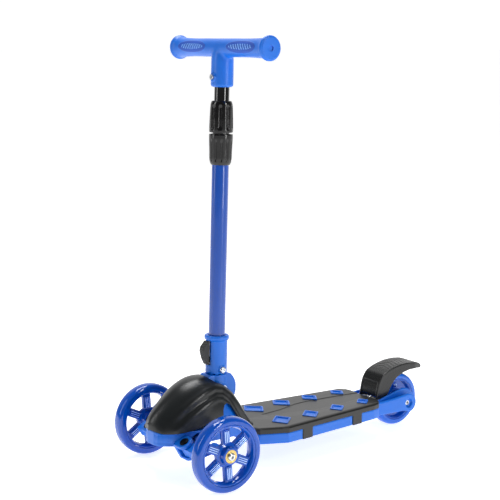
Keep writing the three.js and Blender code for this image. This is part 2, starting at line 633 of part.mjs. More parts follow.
function kingpinEars(sign) {
  const [inner, outer] = ordered(-sign * 19, -sign * 10.2);
  const [wallInner, wallOuter] = ordered(-sign * 19, 0);
  const ear = (z0, z1) => join(rodZ(13, z0, z1), box(wallInner, wallOuter, -13, 13, z0, z1));
  const made = cut(
    join(
      ear(KNUCKLE_HALF_HEIGHT + GAP, EAR_TOP),
      ear(-EAR_TOP, -KNUCKLE_HALF_HEIGHT - GAP),
      box(inner, outer, -13, 13, -EAR_TOP, EAR_TOP),
    ),
    rodZ(KINGPIN_RADIUS + GAP, -EAR_TOP - 1, EAR_TOP + 1, 0, 0, 16),
  );
  return moved(made, kingpinMatrix(sign));
}

// The rod's own band along the pin, and the pegs of the two knuckles that it drops over.
const rodFoot = -3.1;
const rodTop = 2.3;

function frontBase() {
  const foot = 60.5;
  const floor = 63.5;
  const top = 84;
  const rear = DECK_FRONT - 4;
  const inCowl = cowlForm(COWL_WALL + 2 * GAP, 12);
  const wholeTray = cut(
    prismZ(cowlPlan(3.6, rear), foot, top),
    prismZ(cowlPlan(9, rear - 4), floor, top + 1),
  );
  const tray = join(
    wholeTray.intersect(inCowl),
    wholeTray.intersect(underCowl(2 * GAP)),
  );
  const finSide = [[38, 72], [40, 112], [44, 121], [54, 125], [64, 120], [80, 96], [86, 72]];
  const fins = cut(
    prismX(finSide, -60, 60).intersect(inCowl),
    cowlForm(COWL_WALL + 4.5, 12),
    box(-20, 20, 30, 100, foot, 160),
  );
  const ribs = [-1, 1].map((sign) => box(...ordered(sign * 31, sign * 34), -26, 12, floor - 1, top - 4));
  const rodSlot = moved(box(-90, 90, TIE_ROD_LEVER - 7, TIE_ROD_LEVER + 7, rodFoot - 6, rodTop + 2),
    kingpinMatrix(0));
  const solidBase = join(
    tray,
    ...ribs,
    kingpinEars(1),
    kingpinEars(-1),
    fins,
  );
  return [node('front_base', cut(
    solidBase,
    rodSlot,
    ...baseBoltPlaces().map((y) => rodZ(2.5 + GAP, foot - 1, floor + 1, 0, y, 12)),
    rodZ(1.8 + GAP, foot - 1, floor + 1, 0, cowlPosts[0].y, 10),
  ), 'bluePlastic')];
}

function steeringSide(sign, side) {
  const turn = kingpinMatrix(sign);
  const back = new THREE.Matrix4().copy(turn).invert();
  const half = KNUCKLE_HALF_HEIGHT;
  const hubFace = FRONT_TRACK / 2 - 14.3 - 2 * GAP;
  const bossInner = hubFace - 22;
  const armReach = bossInner + 2 - KINGPIN_X;
  const axleY = new THREE.Vector3(0, 0, FRONT_WHEEL_RADIUS).applyMatrix4(back);
  const link = [[-9, -half], [axleY.y, axleY.z - 9], [axleY.y + 4, axleY.z + 5], [-4, half]];
  const barrel = join(
    rodZ(9.8, -half, half),
    box(...ordered(0, sign * armReach), -9, 9, -half, half),
    box(-5, 5, 0, TIE_ROD_LEVER + 5, -half, rodFoot - GAP),
    rodZ(3, rodFoot - 2, rodTop + 1.5, 0, TIE_ROD_LEVER, 12),
    prismX(link, ...ordered(sign * (armReach - 12), sign * armReach)),
  );
  const knuckle = cut(
    join(
      moved(barrel, turn),
      rodX(10, ...ordered(sign * bossInner, sign * hubFace), 0, FRONT_WHEEL_RADIUS),
    ),
    rodX(AXLE_RADIUS + GAP, ...ordered(sign * (bossInner - 15), sign * (hubFace + 1)), 0, FRONT_WHEEL_RADIUS, 16),
    rodX(8, ...ordered(sign * (bossInner - 15), sign * bossInner), 0, FRONT_WHEEL_RADIUS, 16),
    moved(rodZ(KINGPIN_RADIUS + GAP, -half - 1, half + 1, 0, 0, 16), turn),
  );
  const pin = moved(join(
    rodZ(KINGPIN_RADIUS, -EAR_TOP - 2, EAR_TOP + 1, 0, 0, 16),
    turnedZ([[0, EAR_TOP + GAP], [8, EAR_TOP + GAP], [8, EAR_TOP + 1.5], [6, EAR_TOP + 3], [0, EAR_TOP + 3]], 20),
  ), turn);
  return [
    node(`steering_knuckle_${side}`, knuckle, 'bluePlastic'),
    node(`kingpin_${side}`, pin, 'steel'),
  ];
}

function tieRod() {
  const turn = kingpinMatrix(0);
  const place = new THREE.Vector3(0, TIE_ROD_LEVER, (rodFoot + rodTop) / 2);
  const rod = moved(cut(
    join(
      box(-KINGPIN_X - 7, KINGPIN_X + 7, TIE_ROD_LEVER - 4.5, TIE_ROD_LEVER + 4.5, rodFoot, rodTop),
      box(-4, 4, TIE_ROD_LEVER - 8, TIE_ROD_LEVER + 8, rodFoot - 3, rodTop + 3),
      rodZ(7, rodFoot, rodTop, KINGPIN_X, TIE_ROD_LEVER, 16),
      rodZ(7, rodFoot, rodTop, -KINGPIN_X, TIE_ROD_LEVER, 16),
    ),
    rodZ(4, rodFoot - 1, rodTop + 1, KINGPIN_X, TIE_ROD_LEVER, 12),
    rodZ(4, rodFoot - 1, rodTop + 1, -KINGPIN_X, TIE_ROD_LEVER, 12),
  ), turn);
  const springs = [[1, 'left'], [-1, 'right']].map(([sign, side]) => {
    const start = place.clone().applyMatrix4(turn).setX(sign * 5.6);
    const along = X.clone().multiplyScalar(sign);
    return node(`steering_spring_${side}`, coil(start, along, Z, 7, 24, 4, 0.9), 'steel');
  });
  return [node('tie_rod', rod, 'steel'), ...springs];
}

// ---------------------------------------------------------------- wheels
// A wheel about the X axis, centred on its own middle: tyre, spoked core and two bearings.
function wheelPieces({ radius, width, depth, spokes, spokeWidth, hubRadius, hubHalf, closed }) {
  const half = width / 2;
  const seat = radius - depth;
  const tyre = turnedX([
    [seat, -half + 1.5], [seat + depth * 0.35, -half], [radius - depth * 0.2, -half + 2.2],
    [radius, -half + 7.5], [radius, half - 7.5], [radius - depth * 0.2, half - 2.2],
    [seat + depth * 0.35, half], [seat, half - 1.5], [seat, -half + 1.5],
  ], 36);
  const rimTop = seat - GAP;
  const rimFloor = rimTop - 3.2;
  const rim = turnedX([
    [rimFloor, -3], [rimTop - 1.4, -half + 2], [rimTop, -half + 2], [rimTop, half - 2],
    [rimTop - 1.4, half - 2], [rimFloor, 3], [rimFloor, -3],
  ], 32);
  const spoke = (i) => {
    const geometry = new THREE.BoxGeometry(9, rimFloor + 1.5 - hubRadius + 4, spokeWidth);
    geometry.translate(0, (rimFloor + 1.5 + hubRadius - 4) / 2, 0);
    return solid(geometry.rotateX((2 * Math.PI * (i + 0.57)) / spokes));
  };
  const hub = rodX(hubRadius, -hubHalf, hubHalf, 0, 0, 16);
  const web = closed ? [rodX(rimFloor + 1.5, -2.5, 2.5, 0, 0, 32)] : [];
  const seatDepth = BEARING_WIDTH;
  const core = cut(
    join(rim, hub, ...web, ...Array.from({ length: spokes }, (_, i) => spoke(i))),
    rodX(8, -hubHalf - 1, hubHalf + 1, 0, 0, 16),
    rodX(BEARING_RADIUS + GAP, hubHalf - seatDepth, hubHalf + 1, 0, 0, 16),
    rodX(BEARING_RADIUS + GAP, -hubHalf - 1, -hubHalf + seatDepth, 0, 0, 16),
  );
  const bearing = (sign) => {
    const [a, b] = ordered(sign * (hubHalf - seatDepth + GAP), sign * (hubHalf + GAP));
    return cut(rodX(BEARING_RADIUS, a, b, 0, 0, 16), rodX(AXLE_RADIUS + GAP, a - 1, b + 1, 0, 0, 12));
  };
  return { tyre, core, outer: bearing(1), inner: bearing(-1) };
}

function wheelNodes(name, pieces, finish) {
  return [
    node(`${name}_tyre`, pieces.tyre, finish),
    node(`${name}_core`, pieces.core, 'bluePlastic'),
    node(`${name}_bearing_outer`, pieces.outer, 'brass'),
    node(`${name}_bearing_inner`, pieces.inner, 'brass'),
  ];
}

// An axle bolt along X from its head's seat, with its nut at the far end.
function axleBolt(name, headSeat, nutFace, y, z, sign = 1) {
  const head = headSeat + sign * GAP;
  const shankEnd = nutFace - sign * 6.5;
  const bolt = cut(
    join(
      rodX(6.5, ...ordered(head, head + sign * 3), y, z, 16),
      rodX(AXLE_RADIUS, ...ordered(head + sign, shankEnd), y, z, 12),
    ),
    rodX(2.9, ...ordered(head + sign, head + sign * 4), y, z, 6),
  );
  const nut = cut(
    rodX(6.8, ...ordered(nutFace - sign * GAP, nutFace - sign * 5.3), y, z, 6),
    rodX(AXLE_RADIUS + GAP, ...ordered(nutFace, nutFace - sign * 7), y, z, 12),
  );
  return [node(`${name}_axle_bolt`, bolt, 'steel'), node(`${name}_axle_nut`, nut, 'steel')];
}

const frontHubHalf = 14;
const frontWheel = {
  radius: FRONT_WHEEL_RADIUS, width: FRONT_TYRE_WIDTH, depth: FRONT_TYRE_DEPTH,
  spokes: 6, spokeWidth: 15, hubRadius: 15, hubHalf: frontHubHalf,
};
const rearHubHalf = 20;
const rearWheel = {
  radius: REAR_WHEEL_RADIUS, width: REAR_TYRE_WIDTH, depth: REAR_TYRE_DEPTH,
  spokes: 5, spokeWidth: 13, hubRadius: 15, hubHalf: rearHubHalf,
  closed: true,
};

function frontWheelGroup(sign, side) {
  const group = new THREE.Group();
  group.position.set((sign * FRONT_TRACK) / 2, 0, FRONT_WHEEL_RADIUS);
  if (sign < 0) group.rotation.z = Math.PI;
  group.add(...wheelNodes(`front_${side}`, wheelPieces(frontWheel), 'blueTyre'));
  return group;
}

function frontAxle(sign, side) {
  const middle = FRONT_TRACK / 2;
  const bossInner = middle - 14.3 - 2 * GAP - 22;
  return axleBolt(`front_${side}`, sign * (middle + frontHubHalf + GAP), sign * bossInner,
    0, FRONT_WHEEL_RADIUS, sign);
}

function rearWheelGroup() {
  const group = new THREE.Group();
  group.position.set(0, WHEELBASE, REAR_WHEEL_RADIUS);
  group.add(...wheelNodes('rear', wheelPieces(rearWheel), 'blueTyre'));
  return group;
}

// ---------------------------------------------------------------- deck and pad
// Half of the deck's plan, drawn in by an inset, from the front corner to the rear edge.
function deckPlan(inset) {
  return mirrored([
    [44 - inset, DECK_FRONT + inset], [59 - inset, DECK_FRONT + 12 + inset / 2],
    [DECK_HALF_WIDTH - inset, DECK_FRONT + 58], [DECK_REAR_HALF_WIDTH - inset, DECK_REAR - 27],
    [DECK_REAR_HALF_WIDTH - 3 - inset, DECK_REAR - 14], [48 - inset, DECK_REAR - 4 - inset / 2],
    [36, DECK_REAR - inset],
  ]);
}

// Half-width of the deck at a place along it, behind its front corner.
function deckHalfWidth(y) {
  const along = (y - DECK_FRONT - 58) / (DECK_REAR - 27 - DECK_FRONT - 58);
  return THREE.MathUtils.lerp(DECK_HALF_WIDTH, DECK_REAR_HALF_WIDTH, along);
}

// Four trays a side stand up through the pad. They shrink towards the rear.
const trayFirst = DECK_FRONT + 71;
const trayPitch = (DECK_REAR - 34 - trayFirst) / 3;
const trays = [40.9, 42.4, 39.8, 36.5].flatMap((x, i) =>
  [1, -1].map((sign) => ({ x: sign * x, y: trayFirst + trayPitch * i, scale: 1 - 0.13 * i, sign })));

// A tray's four-cornered plan, grown or drawn in by a margin.
function trayPlan({ x, y, scale, sign }, margin) {
  const long = [20.7 * scale, 13 * scale];
  const short = [19.5 * scale, -21.5 * scale];
  const grow = 1 + margin / (13 * scale);
  return [[-1, -1], [1, -1], [1, 1], [-1, 1]].map(([a, b]) => [
    x + (sign * grow * (a * long[0] + b * short[0])) / 2,
    y + (grow * (a * long[1] + b * short[1])) / 2,
  ]);
}

const tabPlaces = [DECK_FRONT + 102, DECK_REAR - 70];

// A block over one clip tab's stretch of the deck's side, between two depths below the deck's outline.
function tabBlock(y, sign, outer, inner, width, z0, z1) {
  const [a, b] = [y - width / 2, y + width / 2];
  return prismZ([
    [sign * (deckHalfWidth(a) - outer), a], [sign * (deckHalfWidth(b) - outer), b],
    [sign * (deckHalfWidth(b) - inner), b], [sign * (deckHalfWidth(a) - inner), a],
  ], z0, z1);
}

const eachTab = (make) => tabPlaces.flatMap((y) => [1, -1].map((sign) => make(y, sign)));

function deckBase() {
  const padFoot = DECK_TOP - PAD_THICKNESS;
  const plateTop = padFoot - GAP;
  const plateFoot = plateTop - DECK_WALL;
  const hull = join(
    prismZ(deckPlan(1), DECK_FOOT, PAD_SKIRT_FOOT - GAP),
    prismZ(deckPlan(PAD_SKIRT_WALL + GAP), PAD_SKIRT_FOOT - 2, plateTop),
  );
  const inside = prismZ(deckPlan(PAD_SKIRT_WALL + DECK_WALL + 0.6), DECK_FOOT - 1, plateFoot);
  const ribFoot = DECK_FOOT + 3;
  const ribbing = join(
    ...[-36, 0, 36].map((x) => box(x - 1.5, x + 1.5, DECK_FRONT + 18, DECK_REAR - 4, ribFoot, plateFoot + 1)),
    ...[0, 1, 2, 3, 4].map((i) => {
      const y = DECK_FRONT + RIB_PITCH * (i + 1);
      return box(-DECK_HALF_WIDTH, DECK_HALF_WIDTH, y, y + 3, ribFoot, plateFoot + 1);
    }),
  ).intersect(prismZ(deckPlan(5), DECK_FOOT, plateFoot + 1.5));
  const tongue = box(-30, 30, FOLD_PIVOT_Y - 24, DECK_FRONT + 24, 53.5, 60.2);
  const towers = trays.map((tray) => cut(
    prismZ(trayPlan(tray, -0.6), plateFoot + 1, DECK_TOP + 1.2),
    prismZ(trayPlan(tray, -2.2), padFoot + 0.6, DECK_TOP + 2),
  ));
  const rear = rearFrame();
  return [node('deck_base', cut(
    join(cut(hull, inside), ribbing, tongue, rear, ...towers),
    cowlSeat(),
    ...eachTab((y, sign) => tabBlock(y, sign, -1, 2.5 + GAP, TAB_WIDTH + 2 * GAP, DECK_FOOT - 1, padFoot - 3)),
    ...baseBoltPlaces().map((y) => rodZ(2.5 + GAP, 50, 62, 0, y, 12)),
    rodZ(1.8 + GAP, 48, 62, 0, cowlPosts[1].y, 10),
  ), 'bluePlastic')];
}

// The fork: an outer and an inner wall on each side of the rear wheel, with a floor between them.
function rearFrame() {
  const axle = [WHEELBASE, REAR_WHEEL_RADIUS];
  const start = DECK_REAR - 16;
  const outerSide = [
    [start, FORK_FOOT], [WHEELBASE - 14, FORK_FOOT - 1],
    ...circle(18, ...axle, 9, -70, 165),
    [WHEELBASE - 30, FORK_TOP + 2], [DECK_REAR + 8, FORK_TOP], [start, FORK_TOP],
  ];
  const innerSide = [
    [start, FORK_FOOT], [WHEELBASE - 18, FORK_FOOT],
    ...circle(18, ...axle, 6, -60, 60),
    ...circle(25.5, ...axle, 6, 10, 95),
    [WHEELBASE - 38, FORK_TOP + 5], [WHEELBASE - 56, FORK_TOP], [start, FORK_TOP],
  ];
  const floorSide = [
    [start, FORK_FOOT], [WHEELBASE - 18, FORK_FOOT], [WHEELBASE - 8, FORK_FOOT + 5],
    [WHEELBASE - 26, FORK_TOP - 6], [start, FORK_TOP - 3],
  ];
  const arm = (sign) => join(
    prismX(outerSide, ...ordered(sign * (FORK_OUTER_X - 6), sign * FORK_OUTER_X)),
    prismX(innerSide, ...ordered(sign * FORK_INNER_X, sign * (FORK_INNER_X + 4.5))),
    prismX(floorSide, ...ordered(sign * (FORK_INNER_X + 1), sign * (FORK_OUTER_X - 1))),
  );
  const bridge = box(-FORK_OUTER_X, FORK_OUTER_X, start, DECK_REAR + 6, FORK_FOOT, FORK_TOP);
  const reach = FORK_OUTER_X + 5;
  return cut(
    join(arm(1), arm(-1), bridge),
    rodX(AXLE_RADIUS + GAP, -reach, reach, ...axle, 16),
    rodX(8, FORK_OUTER_X - 5, reach, ...axle, 16),
    rodX(8, -reach, -FORK_OUTER_X + 5, ...axle, 16),
    rodX(3 + GAP, -FORK_INNER_X - 3, FORK_INNER_X + 3, GUARD_PIVOT_Y, GUARD_PIVOT_Z, 12),
  );
}

function deckPad() {
  const padFoot = DECK_TOP - PAD_THICKNESS;
  const slab = join(
    prismZ(deckPlan(0), PAD_SKIRT_FOOT, DECK_TOP - 2),
    prismZ(deckPlan(2), DECK_TOP - 3, DECK_TOP),
  );
  const under = prismZ(deckPlan(PAD_SKIRT_WALL), PAD_SKIRT_FOOT - 1, padFoot);
  return [node('deck_pad', cut(
    join(
      cut(slab, under),
      ...eachTab((y, sign) => tabBlock(y, sign, 0, 2.5, TAB_WIDTH, DECK_FOOT - 0.4, padFoot - 3 - GAP)),
    ),
    cowlSeat(),
    rearClearance(),
    box(-30 - GAP, 30 + GAP, DECK_FRONT - 2, DECK_FRONT + 12, PAD_SKIRT_FOOT - 1, 60.2 + GAP),
    ...trays.map((tray) => prismZ(trayPlan(tray, 0), padFoot - 1, DECK_TOP + 1)),
  ), 'greyRubber')];
}

// The pad's skirt stops where the fork's arms and their bridge leave the deck.
function rearClearance() {
  const reach = FORK_OUTER_X + GAP;
  return box(-reach, reach, DECK_REAR - 16 - GAP, DECK_REAR + 20, PAD_SKIRT_FOOT - 2, FORK_TOP + GAP);
}

// ---------------------------------------------------------------- rear guard that is also the brake
function mudguard() {
  const w = WHEELBASE;
  const top = [
    [w - 62, 66], [w - 60, 78], [w - 56, 93], [w - 47, 106], [w - 33, 112.5], [w - 21, 116], [w - 3, 119.5],
    [w + 17, 120], [w + 35, 118], [w + 47, 113], [w + 52, 107],
  ];
  const under = [
    [w + 49, 106], [w + 33, 113], [w + 17, 115], [w - 3, 114.5], [w - 20, 111], [w - 32, 107.5],
    [w - 43, 101.5], [w - 51, 91], [w - 55, 78], [w - 57, 66],
  ];
  const plate = prismX([...top, ...under], -GUARD_HALF_WIDTH, GUARD_HALF_WIDTH);
  const wallSide = [
    [w - 61, 66], [w - 59, 78], [w - 55, 93], [w - 46, 105], [w - 33, 111], [w - 3, 116], [w + 25, 116],
    [w + 5, 109], [w - 12, 100], [w - 24, 88], [w - 30, 74], [w - 38, 62], [w - 48, 53], [w - 63, 53], [w - 64, 60],
  ];
  const wallOuter = FORK_INNER_X - 1;
  const wall = (sign) => prismX(wallSide, ...ordered(sign * (wallOuter - GUARD_WALL), sign * wallOuter));
  const shoe = cut(
    box(-9, 9, w - 8, w + 24, 98, 115.5),
    rodX(REAR_WHEEL_RADIUS + BRAKE_GAP, -10, 10, w, REAR_WHEEL_RADIUS, 40),
  );
  const guard = cut(
    join(plate, shoe, wall(1), wall(-1)),
    rodX(3 + GAP, -40, 40, GUARD_PIVOT_Y, GUARD_PIVOT_Z, 12),
  );
  const pinEnd = FORK_INNER_X + 2.6;
  const pin = rodX(3, -pinEnd, pinEnd, GUARD_PIVOT_Y, GUARD_PIVOT_Z, 12);
  const start = new THREE.Vector3(-7, GUARD_PIVOT_Y, GUARD_PIVOT_Z);
  const spring = coil(start, X, Z, 5.2, 14, 5, 0.8);
  return [
    node('mudguard_brake', guard, 'blackPlastic'),
    node('brake_pin', pin, 'steel'),
    node('brake_spring', spring, 'steel'),
  ];
}

// ---------------------------------------------------------------- fasteners under the deck
function screwUp(name, radius, headRadius, headTop, tip, y) {
  const made = cut(
    join(rodZ(headRadius, headTop - 2.6, headTop, 0, y, 16), rodZ(radius, headTop - 1, tip, 0, y, 10)),
    rodZ(radius * 0.7, headTop - 3, headTop - 1.2, 0, y, 6),
  );
  return node(name, made, 'steel');
}

function fasteners() {
  const [front, rear] = baseBoltPlaces();
  return [
    screwUp('base_bolt_front', 2.5, 4.6, 53.5 - GAP, 72, front),
    screwUp('base_bolt_rear', 2.5, 4.6, 53.5 - GAP, 72, rear),
    screwUp('cowl_screw_front', 1.8, 3.6, 60.5 - GAP, 72, cowlPosts[0].y),
    screwUp('cowl_screw_rear', 1.8, 3.6, 53.5 - GAP, 66, cowlPosts[1].y),
  ];
}

// ---------------------------------------------------------------- the whole scooter
const stem = new THREE.Group();
stem.position.set(0, FOLD_PIVOT_Y, FOLD_PIVOT_Z);
stem.rotation.x = -radians(STEM_LEAN);
stem.add(...handlebar(), ...heightLock(), ...stemFoot());

const scooter = new THREE.Group();
scooter.position.y = -ORIGIN_Y;
scooter.add(
  stem,
  ...foldBracket(),
  ...frontCowl(),
  ...frontBase(),
  ...steeringSide(1, 'left'),
  ...steeringSide(-1, 'right'),
  ...tieRod(),
  frontWheelGroup(1, 'left'),
  frontWheelGroup(-1, 'right'),
  ...frontAxle(1, 'left'),
  ...frontAxle(-1, 'right'),
  rearWheelGroup(),
  ...axleBolt('rear', FORK_OUTER_X - 5, -FORK_OUTER_X + 5, WHEELBASE, REAR_WHEEL_RADIUS),
  ...deckBase(),
  ...deckPad(),
  ...mudguard(),
  ...fasteners(),
);

// The group's own frame is the scooter's, so the shift to the origin sits one level down.
const root = new THREE.Group();
root.add(scooter);

export default root;
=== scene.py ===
"""Child's three-wheel kick scooter: the visual model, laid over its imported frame.

Run as a script by Blender. Sizes are in millimetres with Y counted from the front axle, as the maker's
drawings have them, and each piece is brought into the frame's metres when it is placed.
"""
import json
import math

import bmesh
import bpy
from mathutils import Matrix, Vector


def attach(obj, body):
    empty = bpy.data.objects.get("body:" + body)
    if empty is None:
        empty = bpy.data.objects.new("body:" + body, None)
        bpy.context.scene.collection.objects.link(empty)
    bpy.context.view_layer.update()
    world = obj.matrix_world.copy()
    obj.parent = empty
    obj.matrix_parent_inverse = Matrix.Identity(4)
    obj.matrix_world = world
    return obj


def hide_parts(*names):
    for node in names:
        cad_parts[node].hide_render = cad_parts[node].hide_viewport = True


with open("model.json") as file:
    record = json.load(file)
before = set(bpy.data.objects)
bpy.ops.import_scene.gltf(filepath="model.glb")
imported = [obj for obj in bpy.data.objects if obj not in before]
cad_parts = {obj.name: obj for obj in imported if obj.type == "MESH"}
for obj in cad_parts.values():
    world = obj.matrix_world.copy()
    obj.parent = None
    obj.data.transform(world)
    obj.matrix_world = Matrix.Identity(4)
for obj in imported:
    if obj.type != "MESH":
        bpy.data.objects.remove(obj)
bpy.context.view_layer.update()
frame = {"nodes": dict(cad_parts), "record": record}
CAD = frame["nodes"]

bl_info = {
    "name": "Three-wheel kick scooter",
    "version": (1, 0, 0),
    "blender": (4, 5, 0),
    "location": "View3D > Sidebar > Scooter",
    "description": "Builds a child's folding three-wheel kick scooter piece by piece",
    "category": "Add Mesh",
}

MM = 0.001
FRONT_AXLE_Y = -223.0  # in the frame, whose origin is under the middle of the scooter
WHEELBASE = 465.0
FRONT_WHEEL_X = 120.8
FRONT_WHEEL_Z = 62.5
REAR_WHEEL_Z = 49.5
FOLD_PIVOT = (0.0, 62.2, 135.0)
STEM_LEAN = 1.72  # degrees, towards the rider
BAR_HEIGHT = 567.5  # of the handlebar's axis above the fold pivot, along the stem
BAR_HALF = 132.0

SCOOTER = Matrix.Translation((0, FRONT_AXLE_Y * MM, 0)) @ Matrix.Scale(MM, 4)
STEM = (
    SCOOTER
    @ Matrix.Translation(FOLD_PIVOT)
    @ Matrix.Rotation(-math.radians(STEM_LEAN), 4, "X")
)
ALONG_X = Matrix.Rotation(math.radians(90), 4, "Y")  # turns a piece made about Z to lie along X
# Stands a piece drawn in X and Y up in the Y-Z plane, with its own Z along X.
UPRIGHT = Matrix(((0, 0, 1, 0), (1, 0, 0, 0), (0, 1, 0, 0), (0, 0, 0, 1)))
TO_SCOOTER = SCOOTER.inverted()
TO_STEM = STEM.inverted()


# ------------------------------------------------------------------ sizes and colours
def sized(label, about, millimetres):
    """A length that a user may change, in the panel's own metres."""
    return bpy.props.FloatProperty(
        name=label, description=about, default=millimetres * MM, subtype="DISTANCE", unit="LENGTH", precision=5
    )


def linear(hex_colour):
    """A CSS colour such as "#3A7BE0" as linear red, green and blue."""
    parts = [int(hex_colour[i : i + 2], 16) / 255 for i in (1, 3, 5)]
    return tuple(c / 12.92 if c <= 0.04045 else ((c + 0.055) / 1.055) ** 2.4 for c in parts)


def tinted(label, about, hex_colour):
    """A colour that a user may change."""
    return bpy.props.FloatVectorProperty(
        name=label, description=about, default=linear(hex_colour), subtype="COLOR", size=3, min=0, max=1
    )


class ScooterSizes(bpy.types.PropertyGroup):
    """Sizes of the surface detail, which don't change how the pieces fit."""

    flute_depth: sized("Flute depth", "Depth of the finger grooves in the height lock", 1.3)
    crest: sized("Cowl crest", "Height of the ridges that run over the front cowl", 2.3)
    pad_step: sized("Pad step", "Drop of the deck pad's middle field below its sides", 1.5)
    grip_rib: sized("Grip rib", "Height of the ribs in the oval field of each grip", 0.55)
    guard_rib: sized("Guard rib", "Height of the tread ribs on top of the mudguard", 0.5)


class ScooterColours(bpy.types.PropertyGroup):
    """Colours of the finishes."""

    body_blue: tinted("Body blue", "Moulded polypropylene of the deck, base and handlebar", "#0468D2")
    stem_blue: tinted("Stem blue", "Powder coat of the lower tube", "#0046A6")
    wheel_blue: tinted("Wheel blue", "Cast polyurethane of the tyres", "#004CB4")
    rear_blue: tinted("Rear wheel blue", "Cast polyurethane of the rear tyre", "#0064D2")
    core_blue: tinted("Core blue", "Nylon of the wheel cores", "#0052BC")
    charcoal: tinted("Charcoal", "Textured plastic of the front cowl", "#101416")
    guard_grey: tinted("Guard grey", "Textured plastic of the mudguard", "#0E1011")
    pad_grey: tinted("Pad grey", "Rubber of the deck pad", "#181817")
    lock_black: tinted("Lock black", "Nylon of the height lock", "#020203")


# ------------------------------------------------------------------ materials
def node(tree, kind, values=None, links=None, **settings):
    """Adds a node with its settings, its sockets' values and its links from (node, socket)."""
    made = tree.nodes.new(kind)
    for key, value in settings.items():
        setattr(made, key, value)
    for key, value in (values or {}).items():
        made.inputs[key].default_value = value
    for key, (source, socket) in (links or {}).items():
        tree.links.new(source.outputs[socket], made.inputs[key])
    return made


COLOUR_DRIFT = 40  # millimetres across a patch of slightly different colour
ROUGHNESS_SPREAD = 0.08  # share by which the roughness wanders


def finish(name, colour, roughness, shade, grain, depth, **sockets):
    """A material of one real stuff: its colour drifts by shade, and its surface has a grain of that size and
    depth in millimetres."""
    material = bpy.data.materials.new(name)
    material.use_nodes = True
    tree = material.node_tree
    tree.nodes.clear()
    on_piece = {"Vector": (node(tree, "ShaderNodeTexCoord"), "Object")}
    cloud = {"Scale": 1 / (COLOUR_DRIFT * MM), "Detail": 3.0, "Roughness": 0.6}
    cloud = node(tree, "ShaderNodeTexNoise", cloud, on_piece)
    fine = {"Scale": 1 / (grain * MM), "Detail": 2.0, "Roughness": 0.5}
    fine = node(tree, "ShaderNodeTexNoise", fine, on_piece)
    ramp = node(tree, "ShaderNodeValToRGB", None, {"Fac": (cloud, "Fac")})
    for element, position, tint in zip(ramp.color_ramp.elements, (0.3, 0.7), (1 - shade, 1 + shade)):
        element.position = position
        element.color = (*(min(1, c * tint) for c in colour), 1)
    rough = node(
        tree,
        "ShaderNodeMapRange",
        {
            "From Min": 0.3,
            "From Max": 0.7,
            "To Min": roughness * (1 - ROUGHNESS_SPREAD),
            "To Max": roughness * (1 + ROUGHNESS_SPREAD),
        },
        {"Value": (fine, "Fac")},
    )
    bump = node(tree, "ShaderNodeBump", {"Strength": 1.0, "Distance": depth * MM}, {"Height": (fine, "Fac")})
    shader = node(
        tree,
        "ShaderNodeBsdfPrincipled",
        sockets,
        {"Base Color": (ramp, "Color"), "Roughness": (rough, "Result"), "Normal": (bump, "Normal")},
    )
    node(tree, "ShaderNodeOutputMaterial", None, {"Surface": (shader, "BSDF")})
    return material


